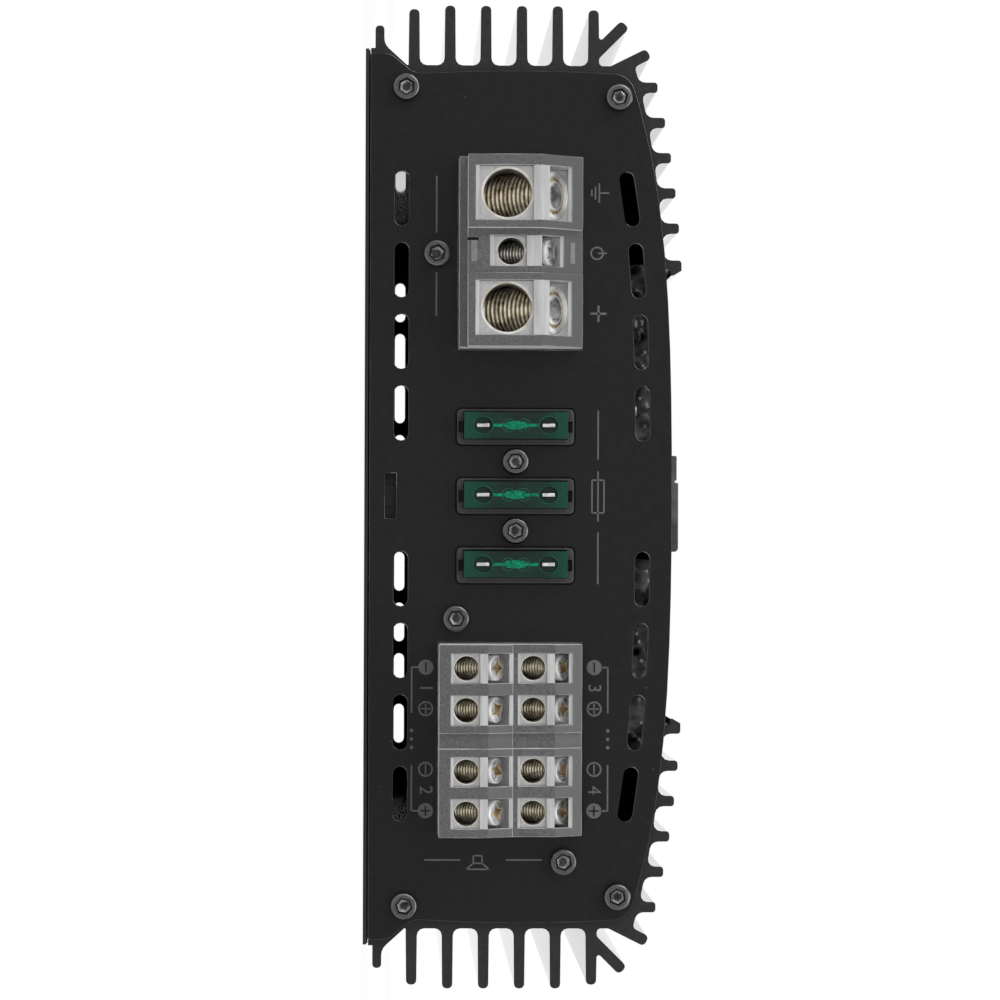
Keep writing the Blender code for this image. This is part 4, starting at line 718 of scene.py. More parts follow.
def fitPanelScrews():
    master = makePanelScrew()
    fitted = [
        node for node in nodes if node.startswith(("terminal_screw", "input_screw")) or node in housingScrews
    ]
    stop, around = panelScrew["stops"]
    for number, node in enumerate(fitted):  # each screw stops at another angle
        low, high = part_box(node)
        front = high.y < 0
        seat = low.y + panelScrew["height"] if front else high.y - panelScrew["height"]
        stand = Matrix.Rotation(math.radians(90 if front else -90), 4, "X")
        turn = stand @ Matrix.Rotation(math.radians(number * stop % around), 4, "Z")
        middle = middleOf(node)
        piece = copyTo(master, node + "_turned", (middle.x, seat, middle.z), turn.to_euler())
        mount(piece, bodyOf[node], slotOf[node], node)
    discard(master)
    print("panel screws:", len(fitted))


# wire clamps: a plated block with a wire bore, and a leaning set screw
clampKinds = {
    "big": {
        "width": 0.0102, "low": -0.0058, "high": 0.0062, "depth": 0.0215, "edge": 0.00022, "bore": 0.0044,
        "rim": 0.0004, "screw": 0.00445, "head": 0.00462, "lean": 33, "cross": 0.01158, "stand": 0.01079,
        "tip": 0.0030, "pitch": 0.0009, "cut": 0.00036, "socket": "hex", "thread": "goldThread",
        "dish": ((0.82, -0.01), (0.73, -0.10), (0.61, -0.10), (0.59, -0.06), (0.50, -0.06)),
        "bar": (0.0047, 0.00765), "sill": 0.0118, "lip": 0.0007, "proud": 0.0013, "knee": (0.0063, 0.7895),
    },
    "remote": {
        "width": 0.0058, "low": -0.00385, "high": 0.00375, "depth": 0.0150, "edge": 0.00014, "bore": 0.00245,
        "rim": 0.0002, "screw": 0.0023, "head": 0.00238, "lean": 33, "cross": 0.0087, "stand": 0.00888,
        "tip": 0.00175, "pitch": 0.00066, "cut": 0.00027, "socket": "cross", "recess": "headNickel",
        "thread": "steelThread", "bar": (0.0028, 0.0056), "sill": 0.00965, "lip": 0.0008, "proud": 0.0013,
        "knee": (0.0056, 0.7895),
    },
    "speaker": {
        "width": 0.0056, "low": -0.0028, "high": 0.0038, "depth": 0.0125, "edge": 0.00014, "bore": 0.0022,
        "rim": 0.0002, "screw": 0.0022, "head": 0.00236, "lean": 38, "cross": 0.0077, "stand": 0.00723,
        "tip": 0.0012, "pitch": 0.00062, "cut": 0.0003, "socket": "cross", "thread": "goldThread",
        "bar": (0.00245, 0.0039), "sill": 0.0072, "lowerSill": 0.00845, "lip": 0.0005, "proud": 0.0013,
        "knee": (0.0040, 0.6),
    },
}
clampPlay = {"hole": 0.00022, "screw": 0.00002, "tip": 0.0002, "reach": 0.03, "over": 0.002}
# shares of a clamp screw's radius, of its head and of its pitch
setScrew = {
    "point": (0.55, 0.75), "taper": 0.12, "crest": (0.26, 0.36), "flank": 0.64, "neck": 0.42, "start": 0.30,
    "round": (0.12, 0.16), "floor": 0.36, "hex": 0.48, "star": (0.78, 0.50), "groove": (0.605, 0.745),
    "ledge": 0.52, "rim": 0.86, "recess": 0.83, "recessHighlightEdge": 0.00012, "stops": (12, 37, 90),
}


def makeClampBlock(kind):
    size = clampKinds[kind]
    half, bore, rim, over = size["width"] / 2, size["bore"], size["rim"], clampPlay["over"]
    piece = block(kind + "ClampMaster", (-half, 0, size["low"]), (half, size["depth"], size["high"]))
    roundEdges(piece, size["edge"], 3)
    lean = math.radians(size["lean"])
    axis = Vector((0, -math.sin(lean), math.cos(lean)))
    start = Vector((0, size["cross"], 0)) - axis * (size["tip"] + clampPlay["tip"])
    hole = rod("screwHole", size["screw"] + clampPlay["hole"], start, start + axis * clampPlay["reach"], 48)
    cutWith(piece, hole)
    cutWith(piece, rod("boreCutter", bore, (0, -over, 0), (0, size["depth"] + over, 0), 64))
    cone = turnedPiece("rimCutter", [(bore + rim * 2, -rim), (bore - rim * 2, rim * 3)], 64)
    cone.rotation_euler = (math.radians(-90), 0, 0)
    cutWith(piece, settle(cone))
    evenShading(piece, 30)
    paint(piece, "clampNickel", "boreRimPaintedHighlight")
    for face in piece.data.polygons:  # the chamfer round the wire entry, in a painted highlight
        across = math.hypot(face.center.x, face.center.z)
        chamfer = face.center.y < rim and -0.9 < face.normal.y < -0.4
        face.material_index = int(chamfer and across < bore + rim)
    return piece


def starCutter(reach, waist, low, high):  # four arms that narrow outwards
    star = disc("starCutter", reach, low, 8)
    openVertices(star, [turn % 2 == 1 for turn in range(8)])
    bpy.ops.transform.resize(value=(waist, waist, 1), center_override=(0, 0, low))
    bpy.ops.mesh.select_all(action="SELECT")
    bpy.ops.mesh.extrude_region_move(TRANSFORM_OT_translate={"value": (0, 0, high - low)})
    closeMesh(outwards=True)
    return star


def clampScrewRings(size, radius, neck):
    length, cut, pitch, rim = size["stand"] + size["tip"], size["cut"], size["pitch"], size["head"]
    rings = [(radius * share, -length) for share in setScrew["point"]]
    height = -length + radius * setScrew["taper"]
    rings.append((radius - cut, height))
    while height + pitch < neck:
        rings += [(radius, height + pitch * share) for share in setScrew["crest"]]
        rings += [(radius - cut * 0.5, height + pitch * setScrew["flank"]), (radius - cut, height + pitch)]
        height += pitch
    across, deep = setScrew["round"]
    rings += [(rim, height + pitch * setScrew["start"]), (rim, -rim * deep)]
    for step in range(1, 4):
        angle = math.radians(90 * step / 3)
        rings.append((rim * (1 - across + across * math.cos(angle)), -rim * deep * (1 - math.sin(angle))))
    return rings + [(rim * share, rim * drop) for share, drop in size.get("dish", ())]


def softenRecess(master, rim):  # an edge round a cross recess, in a painted highlight
    edge = master.vertex_groups.new(name="recessHighlightEdge")
    reach = rim * setScrew["recess"]
    top = [v for v in master.data.vertices if v.co.z > -rim * 0.01]
    edge.add([v.index for v in top if math.hypot(v.co.x, v.co.y) < reach], 1.0, "REPLACE")
    bevel = master.modifiers.new("recessHighlightEdge", "BEVEL")
    bevel.width = setScrew["recessHighlightEdge"]
    bevel.segments = 2
    bevel.limit_method = "VGROUP"
    bevel.vertex_group = edge.name
    bevel.material = 4
    applyAll(master)


def makeClampScrew(kind):
    size = clampKinds[kind]
    isHex = size["socket"] == "hex"
    radius, rim = size["screw"] - clampPlay["screw"], size["head"]
    neck, floor, over = -radius * setScrew["neck"], -radius * setScrew["floor"], clampPlay["over"]
    master = turnedPiece(kind + "ScrewMaster", clampScrewRings(size, radius, neck), 48)
    if isHex:
        cutWith(master, rod("hexCutter", radius * setScrew["hex"], (0, 0, floor), (0, 0, over), 6))
    else:
        reach, waist = setScrew["star"]
        cutWith(master, starCutter(radius * reach, waist, floor, over))
    recess = size.get("recess", "socketGold")
    paint(master, size["thread"], "threadPaintedShade", "headNickel", recess, "headPaintedHighlight")
    low, high = [rim * share for share in setScrew["groove"]]
    for face in master.data.polygons:
        across, z = math.hypot(face.center.x, face.center.y), face.center.z
        # the thread's grooves take painted shade
        if z < neck:
            face.material_index = int(across < radius - size["cut"] * 0.45)
        elif isHex:  # a gold groove between two rings in a painted highlight
            face.material_index = 3 if low < across < high else 4 if across > rim * setScrew["ledge"] else 2
        # the rim of a cross head takes a painted highlight
        elif across > rim * setScrew["rim"]:
            face.material_index = 4
        else:
            face.material_index = 2 if z > -radius * 0.05 else 3
    if not isHex:
        softenRecess(master, rim)
    smoothOver(master, 32)
    return master


def clampKindOf(node):
    if node.startswith("speaker"):
        return "speaker"
    return "remote" if node.startswith("remote") else "big"


def fitClamps():
    blocks = {kind: makeClampBlock(kind) for kind in clampKinds}
    screws = {kind: makeClampScrew(kind) for kind in clampKinds}
    clampNodes = [node for node in nodes if "_clamp" in node and not node.endswith("_screw")]
    first, stop, around = setScrew["stops"]
    for number, node in enumerate(clampNodes):
        kind = clampKindOf(node)
        size = clampKinds[kind]
        low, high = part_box(node)
        origin = Vector(((low.x + high.x) / 2, low.y, low.z - size["low"]))
        piece = copyTo(blocks[kind], node + "_block", origin)
        mount(piece, bodyOf[node], slotOf[node], node)
        lean, stand = math.radians(size["lean"]), size["stand"]
        head = origin + Vector((0, size["cross"] - stand * math.sin(lean), stand * math.cos(lean)))
        bite = math.radians((first + number * stop) % around)  # each screw stops where it bites
        turn = Matrix.Rotation(lean, 4, "X") @ Matrix.Rotation(bite, 4, "Z")
        screw = node + "_screw"
        piece = copyTo(screws[kind], screw + "_turned", head, turn.to_euler())
        mount(piece, bodyOf[screw], slotOf[screw], screw)
    discard(*blocks.values(), *screws.values())
    print("wire clamps:", len(clampNodes))


# housings: clear moulding, with a bar, lip and sill round each wire entry and its screw, in a painted light
housing = {
    "edge": 0.00018, "step": 0.0091, "stepNear": 0.0006, "kneeNear": 0.0005, "kneeSlant": (-0.998, -0.75),
    "along": 0.15, "clear": 0.0001, "barFront": 0.00006, "barBack": 0.0012, "barEdge": 0.00008,
    "lipFront": 0.0002, "lipBack": 0.00008, "lipEdge": 0.00015, "sillLow": 0.0007, "sillHigh": 0.0001,
    "sillFront": 0.0002, "sillBack": 0.0011, "sillEdge": 0.0001,
    "power_housing": ("ground_clamp", "remote_clamp", "supply_clamp"), "speaker_housing": ("speaker_clamp",),
}
lowerSpeaker = ("speaker_clamp_1", "speaker_clamp_2", "speaker_clamp_3", "speaker_clamp_4")
channel = {
    "low": 0.01985, "high": 0.0379, "knee": 0.0322, "slope": 0.7895, "edge": 0.0001,
    "tab": (0.0039, 0.00012, 0.00115), "tabShift": 0.0001,
    "slot": (0.0005, 0.00008, 0.0020), "slotShift": -0.0021, "slotDrop": 0.0002,
}


# the bar, lip and sill are painted light, as highlights on the clear moulding
def makeBar(node):
    size, trim = clampKinds[clampKindOf(node)], housing
    low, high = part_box(node)
    x, z, front = (low.x + high.x) / 2, low.z - size["low"], low.y - size["proud"]
    left, right = x - (size["width"] / 2 - trim["clear"]), x + (size["width"] / 2 - trim["clear"])
    face = front - trim["barFront"]
    bar = block("bar", (left, face, z + size["bar"][0]), (right, front + trim["barBack"], z + size["bar"][1]))
    knee, slope = size["knee"]
    openMesh(bar)
    bpy.ops.mesh.bisect(
        plane_co=(x, face, z + knee), plane_no=(0, -1, slope), use_fill=True, clear_outer=True,
    )
    closeMesh()
    softEdges(bar, trim["barEdge"])
    base = z + size["low"]
    lip = block(
        "lip", (left, front + trim["lipFront"], base - trim["clear"]),
        (right, low.y - trim["lipBack"], base + size["lip"]),
    )
    softEdges(lip, trim["lipEdge"])
    top = z + size["lowerSill" if node in lowerSpeaker else "sill"]
    lean = front + slope * (top - z - knee)
    sill = block(
        "sill", (left, lean + trim["sillFront"], top - trim["sillLow"]),
        (right, lean + trim["sillBack"], top + trim["sillHigh"]),
    )
    softEdges(sill, trim["sillEdge"])
    return [bar, lip, sill]


def plainKnee(piece, clamp):  # no painted highlight line where the front leans back, or at the step between two rows
    size = clampKinds[clampKindOf(clamp)]
    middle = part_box(clamp)[0].z - size["low"]
    steep, flat = housing["kneeSlant"]
    for face in piece.data.polygons:
        up, normal = face.center.z - middle, face.normal
        knee = abs(up - size["knee"][0]) < housing["kneeNear"] and steep < normal.y < flat
        step = clamp in lowerSpeaker and abs(up - housing["step"]) < housing["stepNear"]
        if abs(normal.x) < housing["along"] and (knee or step):
            face.material_index = 0


def makeTab(x, z, front, lean, size):  # a small raised tab in the remote channel
    wide, thick, tall = size
    tab = block("tab", (-wide / 2, -thick, -tall / 2), (wide / 2, thick, tall / 2))
    softEdges(tab, channel["edge"])
    tab.rotation_euler = (-lean, 0, 0)
    tab.location = (x, front, z)
    return settle(tab)


def fitChannelTabs():  # light tabs, each with a slot at one end drawn as a thin block in painted shade, low and high in the channel
    x = middleOf("remote_clamp").x
    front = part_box("remote_clamp")[0].y - clampKinds["remote"]["proud"]
    lean = math.atan(channel["slope"])
    tabs, slots = [], []
    for z, tilt in ((channel["low"], 0.0), (channel["high"], lean)):
        face = front + channel["slope"] * max(z - channel["knee"], 0)
        tabs.append(makeTab(x + channel["tabShift"], z, face, tilt, channel["tab"]))
        slots.append(makeTab(x + channel["slotShift"], z - channel["slotDrop"], face, tilt, channel["slot"]))
    for name, parts, finish in (("channel_tabs", tabs, "tabPlastic"), ("channel_slot_shades", slots, "socketPaintedShade")):
        piece = joined(name, parts)
        paint(piece, finish)
        mount(piece, "chassis", slotOf["power_housing"])


def dressHousings():
    for node in ("power_housing", "speaker_housing"):
        # the bevelled edges take the painted highlight finish
        piece = dressNode(node, housing["edge"], ["clearPlastic", "plasticPaintedHighlight"], 2, 30)
        bars = []
        for clamp in nodes:
            if clamp.startswith(housing[node]) and not clamp.endswith("_screw"):
                bars += makeBar(clamp)
                plainKnee(piece, clamp)
        piece = joined(node + "_painted_light_bars", bars)
        paint(piece, "plasticPaintedLight")
        mount(piece, bodyOf[node], slotOf[node])
    fitChannelTabs()
    print("housings dressed")


# fuse holder and fuses
fuseSize = {
    "width": 0.0190, "thick": 0.0049, "front": 0.0112, "cap": 0.0030, "waist": 0.0005, "neck": 0.0002,
    "edge": 0.0001, "oval": (0.0018, 0.0016), "ovalAt": 0.0060, "ovalDeep": 0.0012, "ovalLine": (0.05, 0.002),
    "ringAt": 0.0014, "ringRadius": 0.00115, "ringLine": 0.00009, "markShare": 0.55, "markLine": 0.00007,
    "bladeWide": 0.0052, "bladeThick": 0.0008, "bladeLong": 0.0072, "bladeAt": 0.0048, "bladeStart": 0.00005,
    "bladeEdge": 0.00025, "tip": (0.00032, 0.00115), "tipFrom": 0.0003, "tipPast": 0.0002, "aside": -0.0002,
    "link": 0.0003, "linkOut": 0.00004, "linkIn": 0.0004, "melt": (0.00075, 0.00008, 0.0019),
}
holderSize = {
    "edge": 0.0003, "gap": 0.00008, "wall": 0.0006, "side": 0.0004, "collar": (0.00005, 0.0025),
    "notch": 0.0009, "notchHalf": 0.00105, "notchDepth": (-0.001, 0.0022),
}


def ovalRod(name, size, place, sides):  # a short bar along Y with an oval outline
    piece = rod(name, 1, (0, -1, 0), (0, 1, 0), sides)
    piece.scale = size
    piece.location = place
    return settle(piece)


def makeFuse():
    size = fuseSize
    halfX, halfZ, front, neck = size["thick"] / 2, size["width"] / 2, -size["front"], size["neck"]
    shoulder = front + size["cap"]
    piece = block("fuseMaster", (-halfX, front, -halfZ), (halfX, shoulder, halfZ))
    neckX, neckZ = halfX - neck, halfZ - size["waist"]
    lower = block("fuseNeck", (-neckX, shoulder - neck, -neckZ), (neckX, 0, neckZ))
    cutWith(piece, lower, "UNION")
    roundEdges(piece, size["edge"])
    long, wide = size["oval"]
    for side in (-1, 1):
        place = (0, front, side * size["ovalAt"])
        cutWith(piece, ovalRod("ovalCutter", (wide, size["ovalDeep"], long), place, 40))
    evenShading(piece, 30)
    paint(piece, "fuseGreen")
    return piece


def ringMark(name, radius, thick, place, finish=None):  # a ring standing on the fuse's face or on a panel
    piece = added(
        name, bpy.ops.mesh.primitive_torus_add, major_radius=radius, minor_radius=thick, major_segments=40,
        minor_segments=8, rotation=(math.radians(90), 0, 0), location=place,
    )
    if finish:
        paint(piece, finish)
    return settle(piece)


def makeFuseCore():  # the link that shows through the green body
    size = fuseSize
    face, link = -size["front"], size["link"]
    (long, wide), (line, flat) = size["oval"], size["ovalLine"]
    reach = size["ovalAt"] - long
    out, deep = face - size["linkOut"], face + size["linkIn"]
    bar = block("fuseCoreMaster", (-link, out, -reach), (link, deep, reach))
    softEdges(bar, size["edge"])
    parts = [bar, ovalRod("melt", size["melt"], (0, face, 0), 32)]
    for part in parts:
        paint(part, "fuseBright")
    for side in (-1, 1):
        at, radius = (0, face, side * size["ringAt"]), size["ringRadius"]
        parts.append(ringMark("coreRing", radius, size["ringLine"], at, "fuseLine"))
        parts.append(ringMark("coreMark", radius * size["markShare"], size["markLine"], at, "fuseBright"))
        oval = ringMark("ovalRing", 1, line, (0, 0, 0), "fuseLine")
        oval.scale = (wide, flat, long)
        oval.location = (0, face, side * size["ovalAt"])
        parts.append(settle(oval))
    piece = joined("fuseCoreMaster", parts)
    smoothOver(piece, 40)
    return piece


def makeFuseBlades():
    size = fuseSize
    half, wide, front = size["bladeThick"] / 2, size["bladeWide"] / 2, -size["front"]
    tipHalf, tipReach = size["tip"]
    parts = []
    for side in (-1, 1):
        middle, hole = side * size["bladeAt"], side * size["ovalAt"]
        start, end = size["bladeStart"], size["bladeLong"]
        blade = block("blade", (-half, start, middle - wide), (half, end, middle + wide))
        softEdges(blade, size["bladeEdge"])
        tip = block(
            "testTip", (-tipHalf, front + size["tipFrom"], hole - tipReach),
            (tipHalf, front + size["ovalDeep"] + size["tipPast"], hole + tipReach),
        )
        softEdges(tip, size["edge"])
        parts += [blade, tip]
    piece = joined("fuseBladeMaster", parts)
    paint(piece, "bladeSilver")
    return piece


def fitHolder(fuses):
    size = holderSize
    holder = dressNode("fuse_holder", size["edge"], ["holderBlack"], 3)
    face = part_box("fuse_holder")[0].y
    gap, wall, side = size["gap"], size["wall"], size["side"]
    for node in fuses:
        low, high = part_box(node)
        x, middle = (low.x + high.x) / 2, (low.z + high.z) / 2
        near = x + fuseSize["aside"] + fuseSize["thick"] / 2 + gap
        reach = fuseSize["width"] / 2 + gap
        bottom, top, far = middle - reach - wall, middle + reach + wall, low.x - side
        collars = [(near, bottom, top), (far, bottom, middle - reach), (far, middle + reach, top)]
        fore, back = size["collar"]
        for start, lowZ, highZ in collars:  # the moulding closes in on the fuse
            collar = block("collar", (start, face + fore, lowZ), (high.x + side, face + back, highZ))
            cutWith(holder, collar, "UNION")
        fore, back = size["notchDepth"]
        half = size["notchHalf"]
        for lowZ, highZ in ((low.z - size["notch"], low.z), (high.z, high.z + size["notch"])):
            cutWith(holder, block("notch", (x - half, face + fore, lowZ), (x + half, face + back, highZ)))


def fitFuses():
    fuses = ("fuse_1", "fuse_2", "fuse_3")
    fitHolder(fuses)
    masters = (("_body", makeFuse()), ("_link", makeFuseCore()), ("_blades", makeFuseBlades()))
    for node in fuses:
        low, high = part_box(node)
        seat = ((low.x + high.x) / 2 + fuseSize["aside"], low.y + fuseSize["front"], (low.z + high.z) / 2)
        for suffix, master in masters:
            piece = copyTo(master, node + suffix, seat)
            slot = "bank_aluminium" if suffix == "_blades" else slotOf[node]
            mount(piece, bodyOf[node], slot, *([node] if suffix == "_body" else []))
    discard(*[master for suffix, master in masters])
    print("fuses:", len(fuses))


# input end: jacks, knobs, switches and the indicator
inputEnd = {
    "face": 0.150, "baseBack": 0.1482, "baseEdge": 0.0005, "sleeve": 0.0042, "bore": 0.0032, "socket": 0.008,
    "pinHole": 0.0016, "proud": 0.0105, "jackStep": 0.007, "coreTop": 0.0015,
    "knob": 0.0036, "knobHeight": 0.0030, "knobSeat": 0.0003, "shaft": 0.0020, "shaftBack": -0.0075,
    "flutes": 24, "fluteShare": 0.94, "fluteRim": 0.0004, "slot": (0.0005, 0.0012), "switchEdge": 0.0003,
    "lens": 0.0015, "lensFront": 0.0002, "lensRise": 0.0009,
    "lensFlange": ((0.0022, -0.0030), (0.0023, -0.0029), (0.0023, -0.0019), (0.0022, -0.0018)),
}
towardsInput = (math.radians(-90), 0, 0)  # a piece turned on Z, stood on the input end


def fitJacks():
    size = inputEnd
    low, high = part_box("rca_block")
    base = block("rca_block_base", low, (high.x, size["baseBack"], high.z))
    softEdges(base, size["baseEdge"], 3)
    paint(base, "jackBlack")
    mount(base, "chassis", slotOf["rca_block"], "rca_block")
    radius, bore, pin, tip = size["sleeve"], size["bore"], size["pinHole"], size["proud"]
    floor = tip - size["socket"]
    rim = floor + size["coreTop"]
    sleeveRings = [
        (radius - 0.0002, -0.0017), (radius, -0.0015), (radius, 0.0022), (radius - 0.0003, 0.0024),
        (radius - 0.0003, 0.0032), (radius, 0.0034), (radius, tip - 0.0005), (radius - 0.0002, tip - 0.0001),
        (radius - 0.0004, tip), (bore + 0.0003, tip), (bore, tip - 0.0003), (bore, floor),
        (pin + 0.0006, floor),
    ]
    coreRings = [
        (bore - 0.0001, floor), (bore - 0.0001, rim), (pin + 0.0002, rim), (pin, floor + 0.0013),
        (pin, floor + 0.0001),
    ]
    sleeve, core = turnedPiece("sleeveMaster", sleeveRings, 56), turnedPiece("coreMaster", coreRings, 48)
    for master in (sleeve, core):
        smoothOver(master, 40)
    middle, step = middleOf("rca_block"), size["jackStep"]
    for column, side, plug in ((-1, "_left", "jackWhite"), (1, "_right", "jackRed")):
        for level, label in ((-1, "low"), (1, "high")):
            place = (middle.x + column * step, size["face"], middle.z + level * step)
            for master, name, finish in ((sleeve, "jack_sleeve_", "jackGold"), (core, "jack_core_", plug)):
                piece = copyTo(master, name + label + side, place, towardsInput)
                paint(piece, finish)
                mount(piece, "chassis", slotOf["rca_block"])
    discard(sleeve, core)
    print("jacks: 4")


def onInputEnd(node):
    middle = middleOf(node)
    return (middle.x, inputEnd["face"], middle.z)


def fitKnobs():
    size = inputEnd
    seat, radius, shaft = size["knobSeat"], size["knob"], size["shaft"]
    top = seat + size["knobHeight"]
    rings = [
        (shaft, size["shaftBack"]), (shaft, seat), (radius - 0.0002, seat), (radius, seat + 0.0002),
        (radius, top - 0.0007), (radius - 0.0003, top - 0.0002), (radius - 0.0007, top),
    ]
    master = turnedPiece("knobMaster", rings, size["flutes"] * 2)
    step = math.pi / size["flutes"]
    wanted = []
    for vertex in master.data.vertices:  # every second edge of the rim goes in, which flutes it
        x, y, z = vertex.co
        isOdd = round(math.atan2(y, x) / step) % 2 == 1
        wanted.append(isOdd and z > seat - 0.0001 and math.hypot(x, y) > radius - size["fluteRim"])
    openVertices(master, wanted)
    bpy.ops.transform.resize(value=(size["fluteShare"], size["fluteShare"], 1), center_override=(0, 0, 0))
    closeMesh()
    half, deep = size["slot"]
    cutWith(master, block("slotCutter", (-radius * 2, -half, top - deep), (radius * 2, half, top + 0.001)))
    smoothOver(master, 28)
    paint(master, "knobBlack")
    knobs = [node for node in nodes if node.endswith("_knob")]
    for node in knobs:
        piece = copyTo(master, node + "_fluted", onInputEnd(node), towardsInput)
        mount(piece, bodyOf[node], slotOf[node], node)
    discard(master)
    print("knobs:", len(knobs))


def fitSwitchesAndLens():
    size, node = inputEnd, "indicator_lens"
    for switch in ("front_filter_switch", "rear_filter_switch"):
        dressNode(switch, size["switchEdge"], ["knobBlack"], 3)
    radius, front = size["lens"], size["lensFront"]
    rings = [*size["lensFlange"], (radius, size["lensFlange"][-1][1]), (radius, front)]
    for step in range(1, 8):
        angle = math.radians(90 * step / 7.5)
        rings.append((radius * math.cos(angle), front + size["lensRise"] * math.sin(angle)))
    lens = turnedPiece("lensMaster", rings, 40)
    smoothOver(lens, 40)
    paint(lens, "lensRed")
    piece = copyTo(lens, "indicator_lens_domed", onInputEnd(node), towardsInput)
    discard(lens)
    mount(piece, bodyOf[node], slotOf[node], node)
    print("switches and indicator")


# printed marks: plain signs and numbers only
marks = {
    "lift": 0.00003, "line": 0.00028, "ring": 0.00032, "heavy": 0.0004, "fine": 0.0002, "text": 0.0034,
    "front": -0.150, "back": 0.150,
}


def outwardOf(face):
    return -1 if face < 0 else 1


def printLine(start, end, face, width=None):  # a thin flat stroke between two (x, z) points
    start, end = Vector(start), Vector(end)
    along, middle = end - start, (start + end) / 2
    piece = added("stroke", bpy.ops.mesh.primitive_cube_add, size=1)
    piece.scale = (along.length, marks["lift"], width or marks["line"])
    piece.rotation_euler = (0, -math.atan2(along.y, along.x), 0)
    piece.location = (middle.x, face + outwardOf(face) * marks["lift"], middle.y)
    return settle(piece)


def printPath(face, *points):  # strokes from point to point
    return [printLine(start, end, face) for start, end in zip(points, points[1:])]


def printDisc(place, radius, face):
    x, z = place
    return rod("disc", radius, (x, face, z), (x, face + outwardOf(face) * marks["lift"] * 1.5, z), 40)


def printRing(place, radius, width, face):
    piece = ringMark("ring", radius, width / 2, (0, 0, 0))
    piece.scale = (1, marks["lift"] * 2 / width, 1)
    piece.location = (place[0], face, place[1])
    return settle(piece)


def printText(words, place, size, face):
    piece = added("text", bpy.ops.object.text_add)
    piece.data.body = words
    piece.data.size = size
    piece.data.align_x = "CENTER"
    piece.data.align_y = "CENTER"
    piece.data.extrude = marks["lift"] / 2
    pickOnly(piece)
    bpy.ops.object.convert(target="MESH")
    piece = bpy.context.active_object
    piece.rotation_euler = (math.radians(90), 0, 0 if face < 0 else math.radians(180))
    piece.location = (place[0], face + outwardOf(face) * marks["lift"], place[1])
    return settle(piece)


def printSign(place, radius, face, plus, filled, dark, light):
    (x, z), width = place, marks["ring"]
    if filled:
        light.append(printDisc(place, radius, face))
    else:
        light.append(printRing(place, radius - width / 2, width, face))
    strokes = dark if filled else light
    reach = radius * 0.66
    level = face - marks["lift"] * 0.8 if filled else face
    strokes.append(printLine((x - reach, z), (x + reach, z), level))
    if plus:
        strokes.append(printLine((x, z - reach), (x, z + reach), level))


# the speaker terminals' signs: (x, plus, filled), their numbers and the rules under and over them
speakerMarks = {
    "signs": ((0.0314, False, True), (0.0390, True, False), (0.0501, False, False), (0.0577, True, True)),
    "radius": 0.00139, "rows": (0.0114, 0.0423), "numbers": ((0.0352, "1", "3"), (0.0539, "2", "4")),
    "rules": ((0.0314, 0.0398), (0.0577, 0.0493)), "levels": ((0.0088, 0.0013), (0.0448, -0.0013)),
    "dots": (0.0430, 0.04455, 0.0461), "dot": 0.00032,
}


def printSpeakers(face, light, dark):
    size = speakerMarks
    for x, plus, filled in size["signs"]:
        for z in size["rows"]:
            printSign((x, z), size["radius"], face, plus, filled, dark, light)
    for x, *numbers in size["numbers"]:
        for number, z in zip(numbers, size["rows"]):
            light.append(printText(number, (x, z), marks["text"], face))
    for z, turn in size["levels"]:
        for start, end in size["rules"]:
            light += [printLine((start, z), (end, z), face), printLine((start, z), (start, z + turn), face)]
        light += [printDisc((x, z), size["dot"], face) for x in size["dots"]]
    x = 0.0667  # loudspeaker sign between two rules
    light += printPath(face, (x, 0.0112), (x, 0.0178)) + printPath(face, (x, 0.0262), (x, 0.0328))
    left, right, horn, low, high = x - 0.0008, x + 0.0006, x + 0.0017, 0.0202, 0.0218
    light += printPath(face, (left, low), (left, high), (right, high), (right, low), (left, low))
    light += printPath(face, (right, low), (horn, 0.0189), (horn, 0.0231), (right, high))


def printFuseSign(face, light):
    z, low, high, half = 0.0429, 0.0418, 0.0440, 0.0030
    for start, end in ((-0.0158, -0.0068), (0.0066, 0.0161), (-0.0046, 0.0046)):
        light += printPath(face, (start, z), (end, z))
    light += printPath(face, (-half, low), (half, low), (half, high), (-half, high), (-half, low))


def printSupply(face, light):
    x, z = -0.0558, 0.0430  # ground sign
    light += printPath(face, (x, z), (x, z + 0.0018))
    for step, reach in enumerate((0.0018, 0.0012, 0.0006)):
        light += printPath(face, (x - reach, z - step * 0.0007), (x + reach, z - step * 0.0007))
    x, z = -0.0447, 0.0426  # switch-on sign
    light.append(printRing((x, z), 0.0011, 0.0003, face))
    light += printPath(face, (x, z + 0.0002), (x, z + 0.0018))
    x, z, reach = -0.0336, 0.0429, 0.0015  # supply sign
    light.append(printLine((x - reach, z), (x + reach, z), face, marks["heavy"]))
    light.append(printLine((x, z - reach), (x, z + reach), face, marks["heavy"]))
    for start, end in ((-0.0588, -0.0484), (-0.0411, -0.0331)):
        light += printPath(face, (start, 0.0131), (end, 0.0131))


def setPrint(name, pieces, finish, panel):
    piece = joined(name, pieces)
    paint(piece, finish)
    mount(piece, "chassis", slotOf[panel])


def printFront():
    face, light, dark = marks["front"], [], []
    printSpeakers(face, light, dark)
    printFuseSign(face, light)
    printSupply(face, light)
    setPrint("front_print", light, "printGrey", "terminal_panel")
    setPrint("front_print_dark", dark, "panelBlack", "terminal_panel")
    print("front marks")


# scales round the knobs, positions over the switches, numbers beside the jacks, a ring round the indicator
backMarks = {
    "scale": (0.0045, 0.0053, 0.0058), "ends": (0.0043, 0.0062), "endText": 0.0022, "switchStep": 0.002,
    "switchText": (0.0042, 0.0020), "switchTick": (0.0019, 0.0027), "jack": (0.0137, 0.007), "lens": 0.0028,
}


